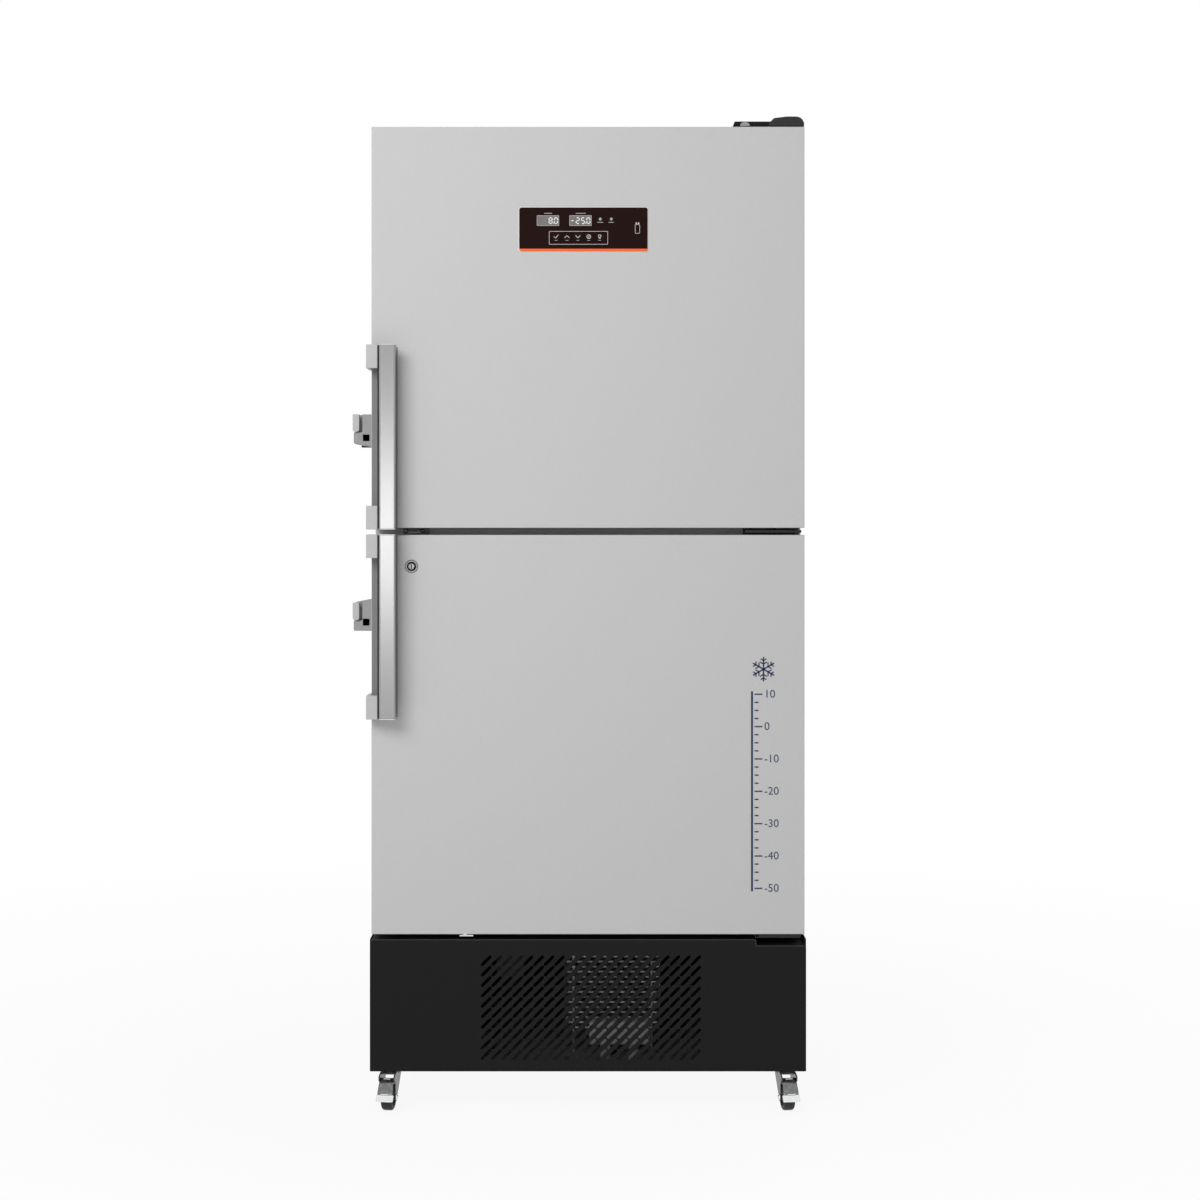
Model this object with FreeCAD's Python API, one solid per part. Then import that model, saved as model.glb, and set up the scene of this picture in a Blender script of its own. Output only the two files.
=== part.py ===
import FreeCAD, Part
import math
import os

V = FreeCAD.Vector

# Cabinet body, in millimetres
cabinet_width = 810.0
cabinet_depth = 655.0
cabinet_top = 1847.0
machine_bay_top = 335.0
side_wall = 80.0
roof_wall = 75.0
floor_wall = 70.0
rear_wall = 85.0
mullion_height = 113.0
mullion_centre = 1088.5
sheet = 1.5
liner_wall = 2.0
face_flange = 30.0
bay_return = 15.0
bead_count = 4
bead_height = 3.0
bead_width = 40.0
mullion_edge = 2.5

# Doors
door_thickness = 68.0
door_gap = 12.0
door_sheet = 1.2
between_doors = 13.0
door_top_clearance = 1.5
door_edge_radius = 2.0
door_back_lip = 12.0
hinge_inset = 14.0
hinge_set_back = 20.0
door_liner_inset = 8.0
dyke_width = 30.0
dyke_clearance = 15.0
dyke_reach = 15.0
dyke_taper = 4.0
gasket_inset = 16.0
gasket_width = 22.0
gasket_foot = 4.0
gasket_bulb_inset = 3.0
gasket_bulb_width = 15.0
gasket_clearance = 0.5

# Hinges
pin_radius = 5.0
running_clearance = 0.05
pin_engagement = 20.0
pin_head = 5.0
bore_end_gap = 4.0
boss_end_wall = 2.0
hinge_plate = 5.0
hinge_boss = 32.0
hinge_nose = 10.0
hinge_flange_sheet = 3.0
top_plate_inset = 8.0
top_plate_margin = 10.0
top_plate_nose = 12.0
top_plate_back = 80.0
middle_plate_length = 110.0
middle_plate_margin = 9.0
middle_flange_height = 36.0
bottom_plate_length = 85.0
bottom_plate_margin = 6.0
bottom_plate_drop = 3.0
bottom_flange_gap = 2.0
bottom_flange_rise = 12.0
hinge_cover_length = 134.0
hinge_cover_hump = 63.0
hinge_cover_height = 9.5
hinge_hump_height = 19.0
hinge_cover_wall = 2.0
hinge_cover_set_back = 6.0
hinge_cover_back = 92.0
hinge_cover_corner = 8.0
hinge_hump_corner = 14.0
hinge_hump_inset = 30.0
hinge_cover_notch = (30.0, 20.0)

# Handles
bar_width = 30.5
bar_depth = 13.0
bar_inset = 18.5
bar_length = 343.0
bar_gap = 9.0
bar_radius = 2.5
handle_reach = 48.0
bracket_height = 44.0
bracket_reach = 6.5
bracket_grip = 30.0
bracket_lip = 3.5
bracket_chamfer = 2.0
bracket_web = 7.0
bracket_step = 5.0

# Padlock latches
latch_reach = 36.0
latch_body_reach = 34.5
latch_height = 60.0
latch_set_back = 12.0
latch_depth = 52.0
latch_slope = 6.0
latch_chamfer = 2.0
upper_latch_top = 1308.0
lower_latch_top = 962.0
paddle_width = 12.5
paddle_height = 33.0
paddle_front = 6.0
paddle_pivot_back = 22.0
paddle_pin_radius = 2.5
paddle_pin_length = 30.0
paddle_pin_depth = 6.0
paddle_gap = 0.5
paddle_room = 1.5
latch_pocket = 16.0
padlock_hole = 12.0
padlock_hole_inset = 5.0
padlock_hole_rise = 10.0
keeper_sheet = 3.0
keeper_reach = 26.0
keeper_stand = 8.0
keeper_depth = 45.0
keeper_tongue_drop = 20.0

# Cam lock
lock_inset = 75.0
lock_drop = 59.0
lock_flange_radius = 12.0
lock_flange_height = 3.0
lock_body_half = 8.4
lock_body_depth = 24.0
lock_plug_radius = 7.0
lock_plug_proud = 0.5
keyway_width = 1.6
keyway_height = 8.0
keyway_depth = 9.5
crank_gap = 0.5
crank_width = 6.0
crank_sheet = 3.0
crank_tip = 2.5
crank_pin_radius = 2.0
bolt_travel = 8.0
bolt_width = 10.0
bolt_depth = 5.0
bolt_left = 2.0
bolt_set_back = 28.0
bolt_clearance = 0.3
bolt_top_gap = 1.0
bolt_hole_gap = 0.5
bolt_foot_left = 15.0
bolt_foot_bottom = 16.0
bolt_foot_top = 2.0
bolt_slot_end = 0.5
bolt_slot_below = 2.1
case_left = 19.0
case_right = 13.0
case_front = 20.0
case_back = 36.0
case_below = 21.0
case_above = 30.0
case_wall = 2.0
case_guide = 14.0
strike_rise = 3.5
strike_lip = 2.5
strike_lip_margin = 7.0
strike_nose = 6.0
strike_left = 22.0
strike_right = 28.0
strike_below = 8.0
strike_above = 14.0

# Display panel
panel_width = 240.0
panel_height = 82.0
panel_inset = 276.5
panel_top = 1694.0
panel_proud = 2.0
panel_lip = 4.0
panel_body_depth = 10.0
panel_fit = 0.2
key_count = 5
key_size = 15.0
key_pitch = 20.4
key_thickness = 2.5
key_travel = 0.5
key_side_gap = 0.3
key_floor_gap = 0.2
first_key_offset = 68.8
key_drop = 55.4
window_width = 41.5
window_height = 19.6
window_depth = 1.0
window_drop = 14.8
window_offsets = (32.9, 93.7)

# Base
caster_height = 78.0
cover_flare = 3.2
cover_wall = 3.0
cover_top = 325.0
cover_set_back = 2.0
cover_wrap = 100.0
cover_shoulder = 8.0
cover_notch_width = 93.5
cover_notch_depth = 11.5
chassis_floor = 3.0
chassis_post = 36.0

# Slots of the base cover
slot_columns = 21
slot_rows = 10
slot_pitch_x = 19.6
slot_pitch_z = 19.5
slot_run = 14.2
slot_width = 5.4
slot_field_left = 207.5
slot_field_top = 47.0

# Rear guard
guard_depth = 12.0
guard_margin = 25.0
louvre_rows = 8
louvre_columns = 3
louvre_width = 190.0
louvre_height = 6.0
louvre_pitch = 22.0

# Casters
caster_plate = 60.0
caster_plate_thickness = 4.0
caster_plate_clip = 6.0
fork_top_gap = 0.5
fork_crown = 4.0
fork_heel = 3.0
fork_ear = (18.0, 7.0, 16.0, 20.0)
fork_foot = 8.0
axle_overlap = 1.0
nut_height = 3.0
caster_inset = 33.0
front_caster_set_back = 45.0
rear_caster_set_back = 50.0
caster_turn = 8.0
wheel_radius = 25.0
wheel_width = 22.0
wheel_sides = 32
axle_radius = 4.0
nut_radius = 6.5
caster_trail = 22.0
fork_sheet = 2.5
fork_gap = 2.0
race_radius = 20.0
kingpin_length = 9.0
pedal_width = 28.0
pedal_radius = 31.5
pedal_sheet = 2.5
pedal_pin_radius = 2.0
pedal_pin_angle = 112.0
pedal_pin_reach = 4.0
pedal_start = 106.0
pedal_end = 176.0
pedal_bends = 4
pedal_lip = 5.0
pedal_side_gap = 0.6
pedal_boss_wall = 2.2

# Cooling machine
tube_radius = 3.0
tube_pitch = 9.8
tube_rows = 17
bend_sides = 2
condenser_left = 362.0
condenser_width = 181.0
condenser_bottom = 128.0
condenser_set_back = 60.0
fan_radius = 78.0
fan_hub_radius = 22.0
fan_hub_depth = 20.0
fan_hub_gap = 6.0
fan_blades = 5
blade_pitch = 24.0
blade_chord = 24.0
blade_tip_corner = 12.0
blade_sheet = 2.0
fan_shaft_radius = 4.0
fan_tip_clearance = 4.0
fan_margin = 16.0
fan_stand = 40.0
mouth_sides = 24
motor_stand = 30.0
motor_depth = 40.0
motor_arm = 8.0
arm_overlap = 5.0
compressor_radius = 75.0
compressor_height = 150.0
pot_sides = 18
pot_feet = 18.0
foot_plate = 4.0
foot_block = 16.0
supply_left = 407.0
supply_size = (116.0, 35.0, 43.0)
supply_back = 15.0
supply_rise = 25.0
supply_leg = (76.0, 3.0)
control_left = 229.0
control_size = (53.0, 45.0, 60.0)
control_back = 25.0
control_drop = 39.0
hanger_width = 33.0
hanger_sheet = 3.0

# Shelves and ledges
shelf_levels = 3
ledge_reach = 12.0
ledge_height = 8.0
shelf_rod = 6.0
shelf_bars = 6
shelf_side_gap = 4.0
shelf_front_gap = 30.0
evaporator_depth = 45.0
evaporator_width = 540.0
evaporator_height = 420.0
evaporator_slots = 4
evaporator_slot_size = (60.0, 12.0)
evaporator_slot_inset = 30.0

# Access port through the rear wall
port_radius = 12.5
port_wall = 2.5
port_offset = 300.0
port_height = 1600.0

# Places worked out from the sizes above: the whole object stands centred on the origin
full_width = latch_reach + cabinet_width + cover_flare
full_depth = handle_reach + door_thickness + door_gap + cabinet_depth + guard_depth
cab_left = -full_width / 2 + latch_reach
cab_right = cab_left + cabinet_width
cab_middle = (cab_left + cab_right) / 2
door_front = -full_depth / 2 + handle_reach
door_back = door_front + door_thickness
cab_front = door_back + door_gap
cab_back = cab_front + cabinet_depth
room_left = cab_left + side_wall
room_right = cab_right - side_wall
room_back = cab_back - rear_wall
lower_room = (machine_bay_top + floor_wall, mullion_centre - mullion_height / 2)
upper_room = (mullion_centre + mullion_height / 2, cabinet_top - roof_wall)
lower_door = (machine_bay_top, mullion_centre - between_doors / 2)
upper_door = (mullion_centre + between_doors / 2, cabinet_top - door_top_clearance)
axis_x = cab_right - hinge_inset
axis_y = door_front + hinge_set_back
lock_x = cab_left + lock_inset
lock_z = lower_door[1] - lock_drop
panel_left = cab_left + panel_inset
cover_left = cab_left - cover_flare
cover_right = cab_right + cover_flare
cover_front = door_front + cover_set_back
axle_z = wheel_radius
front_caster_y = cover_front + front_caster_set_back
rear_caster_y = cab_back - rear_caster_set_back
left_caster_x = cab_left + caster_inset
right_caster_x = cab_right - caster_inset
fan_x = cab_left + condenser_left + condenser_width / 2
fan_z = condenser_bottom + tube_pitch * (tube_rows - 1) / 2
condenser_y = cab_front + condenser_set_back
fan_y = condenser_y + fan_stand
upper_bar_bottom = mullion_centre - between_doors / 2 + bar_gap + 1.0
lower_bar_top = upper_bar_bottom - bar_gap


def block(x0, x1, y0, y1, z0, z1):
    return Part.makeBox(x1 - x0, y1 - y0, z1 - z0, V(x0, y0, z0))


def rod(start, direction, radius, length):
    return Part.makeCylinder(radius, length, start, direction)


def ring(radius, sides):
    """Corner points of a regular polygon whose corners lie on that radius."""
    step = 2 * math.pi / sides
    return [(radius * math.sin(step * (i + 0.5)), radius * math.cos(step * (i + 0.5))) for i in range(sides)]


def outline(points):
    return Part.makePolygon(points + [points[0]])


def prism(points, depth):
    return Part.Face(outline(points)).extrude(depth)


def plan_prism(points, z0, z1):
    return prism([V(x, y, z0) for x, y in points], V(0, 0, z1 - z0))


def front_prism(points, y0, y1):
    return prism([V(x, y0, z) for x, z in points], V(0, y1 - y0, 0))


def side_prism(points, x0, x1):
    return prism([V(x0, y, z) for y, z in points], V(x1 - x0, 0, 0))


def fuse(shapes):
    joined = shapes[0]
    if len(shapes) > 1:
        joined = shapes[0].multiFuse(shapes[1:])
    return joined.removeSplitter()


def upright_edges(shape, x, y):
    """The vertical edges of a shape that stand at x, y."""
    found = []
    for edge in shape.Edges:
        ends = [v.Point for v in edge.Vertexes]
        if len(ends) == 2 and all(abs(p.x - x) < 0.01 and abs(p.y - y) < 0.01 for p in ends):
            found.append(edge)
    return found


def save(name, shape):
    shape.exportStep("parts/" + name + ".step")


# Cabinet shells


def outer_casing():
    outer = block(cab_left, cab_right, cab_front, cab_back - sheet, caster_height + chassis_floor, cabinet_top)
    inner = block(cab_left + sheet, cab_right - sheet, cab_front + sheet, cab_back,
                  caster_height, cabinet_top - sheet)
    window = block(cab_left + face_flange, cab_right - face_flange, cab_front - 1, cab_front + sheet + 1,
                   machine_bay_top + face_flange, cabinet_top - face_flange)
    bay = block(cab_left + bay_return, cab_right - bay_return, cab_front - 1, cab_front + sheet + 1,
                caster_height, machine_bay_top - bay_return)
    return outer.cut(inner).cut(window).cut(bay)


def port_hole(radius):
    x = cab_middle + port_offset - cabinet_width / 4
    return rod(V(x, room_back - 50, port_height), V(0, 1, 0), radius, rear_wall + 100)


def back_panel():
    """Flat sheet stiffened by upright beads, with the port's hole."""
    panel = block(cab_left, cab_right, cab_back - sheet, cab_back, machine_bay_top, cabinet_top)
    shapes = [panel]
    half = bead_width / 2
    for i in range(bead_count):
        x = cab_left + cabinet_width * (i + 1) / (bead_count + 1)
        ridge = [(x - half, cab_back), (x - half + bead_height, cab_back + bead_height),
                 (x + half - bead_height, cab_back + bead_height), (x + half, cab_back)]
        shapes.append(plan_prism(ridge, machine_bay_top + side_wall, cabinet_top - side_wall))
    return fuse(shapes).cut(port_hole(port_radius + port_wall))


def room_block(room, wall):
    return block(room_left - wall, room_right + wall, cab_front, room_back + wall, room[0] - wall, room[1] + wall)


def mullion_channel_block():
    return block(cab_left + face_flange, cab_right - face_flange, cab_front, cab_front + face_flange,
                 lower_room[1], upper_room[0])


def cabinet_insulation():
    foam = block(cab_left + sheet, cab_right - sheet, cab_front + liner_wall, cab_back - sheet,
                 machine_bay_top, cabinet_top - sheet)
    for room in (lower_room, upper_room):
        foam = foam.cut(room_block(room, liner_wall))
    return foam.cut(mullion_channel_block()).cut(port_hole(port_radius + port_wall))


def liner(room, flange_bottom, flange_top):
    shell = room_block(room, liner_wall)
    flange = block(cab_left + face_flange, cab_right - face_flange, cab_front, cab_front + liner_wall,
                   flange_bottom, flange_top)
    hollow = block(room_left, room_right, cab_front - 1, room_back, room[0], room[1])
    shell = fuse([shell.common(block(cab_left, cab_right, cab_front, cab_back, flange_bottom, flange_top)), flange])
    return fuse([shell.cut(hollow)] + ledges(room))


def ledge_height_of(room, level):
    return room[0] + (room[1] - room[0]) * (level + 1) / (shelf_levels + 1)


def ledges(room):
    """Shelf supports moulded into both side walls, with a sloping underside."""
    made = []
    front = cab_front + shelf_front_gap
    back = room_back - evaporator_depth
    for level in range(shelf_levels):
        z = ledge_height_of(room, level)
        for wall, side in ((room_left, 1), (room_right, -1)):
            tip = wall + side * ledge_reach
            shape = [(wall, z), (tip, z), (tip, z - ledge_height / 2), (wall, z - ledge_height * 2)]
            made.append(front_prism(shape, front, back))
    return made


def upper_liner():
    return liner(upper_room, upper_room[0], cabinet_top - face_flange).cut(port_hole(port_radius + port_wall))


def lower_liner():
    return liner(lower_room, machine_bay_top + face_flange, lower_room[1])


def centre_mullion():
    """A channel across the front between the two rooms, which the liners' edges meet."""
    z0 = lower_room[1] + mullion_edge
    z1 = upper_room[0] - mullion_edge
    outer = block(cab_left + face_flange, cab_right - face_flange, cab_front, cab_front + face_flange, z0, z1)
    inner = block(cab_left, cab_right, cab_front + sheet, cab_back, z0 + sheet, z1 - sheet)
    edge_low = block(cab_left + face_flange, cab_right - face_flange, cab_front, cab_front + sheet, lower_room[1], z0)
    edge_high = block(cab_left + face_flange, cab_right - face_flange, cab_front, cab_front + sheet, z1, upper_room[0])
    return fuse([outer.cut(inner), edge_low, edge_high])


def access_port():
    x = cab_middle + port_offset - cabinet_width / 4
    start = room_back - liner_wall
    length = cab_back + bead_height - start
    sleeve = rod(V(x, start, port_height), V(0, 1, 0), port_radius + port_wall, length)
    bore = rod(V(x, start - 1, port_height), V(0, 1, 0), port_radius, length + 2)
    return sleeve.cut(bore)


# Inside the rooms


def wire_shelves():
    """Six grids of welded wire, each lying on a pair of ledges."""
    shelves = []
    x0 = room_left + shelf_side_gap
    x1 = room_right - shelf_side_gap
    y0 = cab_front + shelf_front_gap
    y1 = room_back - evaporator_depth - shelf_side_gap
    pitch = (x1 - x0 - shelf_rod) / (shelf_bars + 1)
    for room in (lower_room, upper_room):
        for level in range(shelf_levels):
            z = ledge_height_of(room, level)
            wires = [outline([V(x0, y0, z), V(x1, y0, z), V(x1, y1, z), V(x0, y1, z)])]
            for i in range(shelf_bars + 1):
                left = x0 + pitch * i + shelf_rod
                right = x0 + pitch * (i + 1)
                wires.append(outline([V(left, y0 + shelf_rod, z), V(right, y0 + shelf_rod, z),
                                      V(right, y1 - shelf_rod, z), V(left, y1 - shelf_rod, z)]))
            grid = Part.makeFace(Part.makeCompound(wires), "Part::FaceMakerBullseye")
            shelves.append(grid.extrude(V(0, 0, shelf_rod)))
    return Part.makeCompound(shelves)


def evaporator_covers():
    """A shallow moulded cover on each rear wall, with an inlet row below and an outlet row above."""
    covers = []
    half_slot = evaporator_slot_size[0] / 2
    half_rise = evaporator_slot_size[1] / 2
    x0 = cab_middle - evaporator_width / 2
    x1 = cab_middle + evaporator_width / 2
    y0 = room_back - evaporator_depth + shelf_side_gap
    for room in (lower_room, upper_room):
        z0 = (room[0] + room[1] - evaporator_height) / 2
        z1 = z0 + evaporator_height
        cover = block(x0, x1, y0, room_back, z0, z1)
        cover = cover.cut(block(x0 + liner_wall, x1 - liner_wall, y0 + liner_wall, room_back + 1,
                                z0 + liner_wall, z1 - liner_wall))
        for i in range(evaporator_slots):
            x = x0 + evaporator_width * (i + 0.5) / evaporator_slots
            for z in (z0 + evaporator_slot_inset, z1 - evaporator_slot_inset):
                cover = cover.cut(block(x - half_slot, x + half_slot, y0 - 1, y0 + liner_wall + 1,
                                        z - half_rise, z + half_rise))
        covers.append(cover)
    return Part.makeCompound(covers)


# Base


def base_frame():
    """Chassis tray, four angle posts and the deck that carries the insulated body."""
    x0 = cab_left + sheet
    x1 = cab_right - sheet
    y0 = cover_front + cover_wall
    y1 = cab_back - sheet
    floor = block(x0, x1, y0, y1, caster_height, caster_height + chassis_floor)
    deck_z = machine_bay_top - chassis_floor
    deck = block(x0, x1, cab_front + sheet, y1, deck_z, machine_bay_top)
    shapes = [floor, deck]
    for x, side in ((x0, 1), (x1, -1)):
        for y, along in ((cab_front + sheet, 1), (y1, -1)):
            corner = [(x, y), (x + side * chassis_post, y), (x + side * chassis_post, y + along * chassis_floor),
                      (x + side * chassis_floor, y + along * chassis_floor),
                      (x + side * chassis_floor, y + along * chassis_post), (x, y + along * chassis_post)]
            shapes.append(plan_prism(corner, caster_height, machine_bay_top))
    rail = block(x0, x1, cab_front + sheet, cab_front + sheet + chassis_floor, deck_z - chassis_post, machine_bay_top)
    shapes.append(rail)
    return fuse(shapes)


def slot_outline(x, z, y):
    """One slanted slot that rises to the right at 45 degrees, from its two end centres."""
    along = V(1, 0, 1).normalize() * slot_width / 2
    across = V(-1, 0, 1).normalize() * slot_width / 2
    low = V(x, y, z) - along
    high = V(x + slot_run, y, z + slot_run) + along
    return outline([low + across, high + across, high - across, low - across])


def slotted_front():
    x0 = cover_left
    x1 = cover_right
    notch_x = x1 - cover_notch_width
    notch_z = cover_top - cover_notch_depth
    edge = [(x0, caster_height), (x1, caster_height), (x1, notch_z), (notch_x + 2, notch_z),
            (notch_x, notch_z + 2), (notch_x, cover_top), (x0 + cover_flare, cover_top),
            (x0, cover_top - cover_shoulder)]
    wires = [outline([V(x, cover_front, z) for x, z in edge])]
    for column in range(slot_columns):
        for row in range(slot_rows):
            x = cab_left + slot_field_left + slot_pitch_x * column
            z = cover_top - slot_field_top - slot_pitch_z * row
            wires.append(slot_outline(x, z, cover_front))
    face = Part.makeFace(Part.makeCompound(wires), "Part::FaceMakerBullseye")
    return face.extrude(V(0, cover_wall, 0))


def base_cover():
    """Moulded front cover that wraps both sides of the base, with a ledge below the lower door."""
    notch_x = cover_right - cover_notch_width
    notch_z = cover_top - cover_notch_depth
    back = cab_front + cover_wrap
    shapes = [slotted_front()]
    for x0, x1, top in ((cover_left, cover_left + cover_wall, cover_top + cover_shoulder),
                        (cover_right - cover_wall, cover_right, cover_top + cover_shoulder)):
        outer = x0 if x0 == cover_left else x1
        inner = x1 if x0 == cover_left else x0
        wall = [(outer, caster_height), (inner, caster_height), (inner, top), (outer, top - cover_shoulder * 2)]
        shapes.append(front_prism(wall, cover_front + cover_wall, back))
    inner_left = cover_left + cover_wall
    inner_right = cover_right - cover_wall
    ledge_back = cab_front - 0.3
    shapes.append(block(inner_left - 0.5, notch_x, cover_front, ledge_back, cover_top - cover_wall, cover_top))
    shapes.append(block(notch_x - cover_wall, inner_right + 0.5, cover_front, ledge_back,
                        notch_z - cover_wall, notch_z))
    shapes.append(block(notch_x - cover_wall, notch_x, cover_front, ledge_back, notch_z - cover_wall, cover_top))
    return fuse(shapes)


def rear_guard():
    """Raised louvred panel that closes the machine bay behind and keeps the cabinet off the wall."""
    z0 = caster_height + chassis_floor
    z1 = machine_bay_top
    plate = block(cab_left, cab_right, cab_back - sheet, cab_back, z0, z1)
    rise = [(cab_left + guard_margin, cab_back), (cab_left + guard_margin + guard_depth, cab_back + guard_depth),
            (cab_right - guard_margin - guard_depth, cab_back + guard_depth), (cab_right - guard_margin, cab_back)]
    tray = plan_prism(rise, z0 + guard_margin, z1 - guard_margin)
    inner = [(cab_left + guard_margin + 2 * sheet, cab_back - 2 * sheet),
             (cab_left + guard_margin + guard_depth + sheet, cab_back + guard_depth - sheet),
             (cab_right - guard_margin - guard_depth - sheet, cab_back + guard_depth - sheet),
             (cab_right - guard_margin - 2 * sheet, cab_back - 2 * sheet)]
    hollow = plan_prism(inner, z0 + guard_margin + sheet, z1 - guard_margin - sheet)
    guard = fuse([plate, tray]).cut(hollow)
    cuts = []
    for column in range(louvre_columns):
        x = cab_middle + (column - (louvre_columns - 1) / 2) * (louvre_width + louvre_pitch)
        for row in range(louvre_rows):
            z = z0 + guard_margin + louvre_pitch * (row + 1)
            cuts.append(block(x - louvre_width / 2, x + louvre_width / 2, cab_back + guard_depth - 2 * sheet,
                              cab_back + guard_depth + 1, z, z + louvre_height))
    return guard.cut(Part.makeCompound(cuts))


# Cooling machine


def bend_points(x, z, radius, side):
    """Outer or inner corner points of one return bend, from its lower run to its upper run."""
    return [(x + side * radius * math.sin(a), z - radius * math.cos(a)) for a in
            (math.pi * k / bend_sides for k in range(bend_sides + 1))]


def serpentine():
    """Outline of the tube: straight runs joined by bends at alternate ends."""
    left = cab_left + condenser_left + tube_pitch / 2
    right = left + condenser_width - tube_pitch
    forward = [(left, condenser_bottom - tube_radius)]
    backward = [(left, condenser_bottom + tube_radius)]
    for i in range(tube_rows - 1):
        z = condenser_bottom + tube_pitch * (i + 0.5)
        side = 1 if i % 2 == 0 else -1
        x = right if side == 1 else left
        outside = bend_points(x, z, tube_pitch / 2 + tube_radius, side)
        inside = bend_points(x, z, tube_pitch / 2 - tube_radius, side)
        forward += outside if side == 1 else inside
        backward += inside if side == 1 else outside
    end = condenser_bottom + tube_pitch * (tube_rows - 1)
    last_x = right if tube_rows % 2 == 1 else left
    low_first = tube_rows % 2 == 1
    forward.append((last_x, end - tube_radius if low_first else end + tube_radius))
    backward.append((last_x, end + tube_radius if low_first else end - tube_radius))
    return forward + backward[::-1]


def condenser():
    """Serpentine tube held by two end plates that stand on the chassis floor."""
    tube = front_prism(serpentine(), condenser_y, condenser_y + 2 * tube_radius)
    top = condenser_bottom + tube_pitch * tube_rows
    plates = []
    for x in (cab_left + condenser_left + 2 * tube_pitch,
              cab_left + condenser_left + condenser_width - 2 * tube_pitch):
        plates.append(block(x - sheet, x + sheet, condenser_y + 2 * tube_radius, condenser_y + 6 * tube_radius,
                            caster_height + chassis_floor, top))
    return Part.makeCompound([tube] + plates)


def fan_shroud():
    """Plate with a round opening for the fan, and the motor on three arms behind it."""
    half = fan_radius + fan_margin
    opening = fan_radius + fan_tip_clearance
    motor_y = fan_y + motor_stand
    plate = block(fan_x - half, fan_x + half, fan_y, fan_y + chassis_floor, caster_height + chassis_floor,
                  fan_z + half)
    mouth = [(fan_x + a, fan_z + b) for a, b in ring(opening / math.cos(math.pi / mouth_sides), mouth_sides)]
    plate = plate.cut(front_prism(mouth, fan_y - 1, fan_y + chassis_floor + 1))
    motor = block(fan_x - fan_hub_radius, fan_x + fan_hub_radius, motor_y, motor_y + motor_depth,
                  fan_z - fan_hub_radius, fan_z + fan_hub_radius)
    shaft = rod(V(fan_x, fan_y, fan_z), V(0, 1, 0), fan_shaft_radius, motor_stand)
    reach = opening + arm_overlap
    arm_left = fan_x - motor_arm / 2
    arm_right = fan_x + motor_arm / 2
    arm = fuse([block(arm_left, arm_right, motor_y, motor_y + chassis_floor, fan_z, fan_z + reach),
                block(arm_left, arm_right, fan_y, motor_y + chassis_floor, fan_z + reach - chassis_floor,
                      fan_z + reach)])
    arms = []
    for i in range(3):
        turned = arm.copy()
        turned.rotate(V(fan_x, motor_y, fan_z), V(0, 1, 0), 60 + 120 * i)
        arms.append(turned)
    return fuse([plate, motor, shaft] + arms)


def fan_rotor():
    """Hub with flat pitched blades, running on the motor shaft."""
    hub_y = fan_y + fan_hub_gap
    hub = front_prism([(fan_x + a, fan_z + b) for a, b in ring(fan_hub_radius, 2 * fan_blades)],
                      hub_y, hub_y + fan_hub_depth)
    blades = []
    middle = hub_y + fan_hub_depth / 2
    half_sheet = blade_sheet / 2
    root_z = fan_z + fan_hub_radius / 2
    tip_z = fan_z + math.sqrt(fan_radius ** 2 - blade_chord ** 2) - half_sheet
    shoulder_z = tip_z - blade_tip_corner
    tip_half = blade_chord - blade_tip_corner / 2
    for i in range(fan_blades):
        blade = front_prism([(fan_x - blade_chord / 2, root_z), (fan_x + blade_chord / 2, root_z),
                             (fan_x + blade_chord, shoulder_z), (fan_x + tip_half, tip_z),
                             (fan_x - tip_half, tip_z), (fan_x - blade_chord, shoulder_z)],
                            middle - half_sheet, middle + half_sheet)
        blade.rotate(V(fan_x, middle, fan_z), V(0, 0, 1), blade_pitch)
        blade.rotate(V(fan_x, middle, fan_z), V(0, 1, 0), 360.0 / fan_blades * i)
        blades.append(blade)
    bore = rod(V(fan_x, hub_y - 1, fan_z), V(0, 1, 0), fan_shaft_radius + running_clearance, fan_hub_depth + 2)
    return fuse([hub] + blades).cut(bore)


def compressor():
    """Hermetic pot with a stepped lid on a foot plate and four rubber blocks."""
    x = cab_middle - cabinet_width / 5
    y = cab_back - 2.2 * compressor_radius
    floor = caster_height + chassis_floor
    pot_z = floor + pot_feet
    foot_z = pot_z - foot_plate
    r = compressor_radius
    h = compressor_height
    lid_z = pot_z + h * 0.72
    cap_z = pot_z + h * 0.92
    pot = fuse([plan_prism([(x + a * share, y + b * share) for a, b in ring(r, pot_sides)], z0, z1)
                for share, z0, z1 in ((1.0, pot_z, lid_z), (0.86, lid_z, cap_z), (0.6, cap_z, pot_z + h))])
    foot = block(x - r * 1.15, x + r * 1.15, y - r * 0.7, y + r * 0.7, foot_z, pot_z)
    shapes = [pot, foot]
    half = foot_block / 2
    for cx in (x - r, x + r):
        for cy in (y - r * 0.55, y + r * 0.55):
            shapes.append(block(cx - half, cx + half, cy - half, cy + half, floor, foot_z))
    return fuse(shapes)


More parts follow.
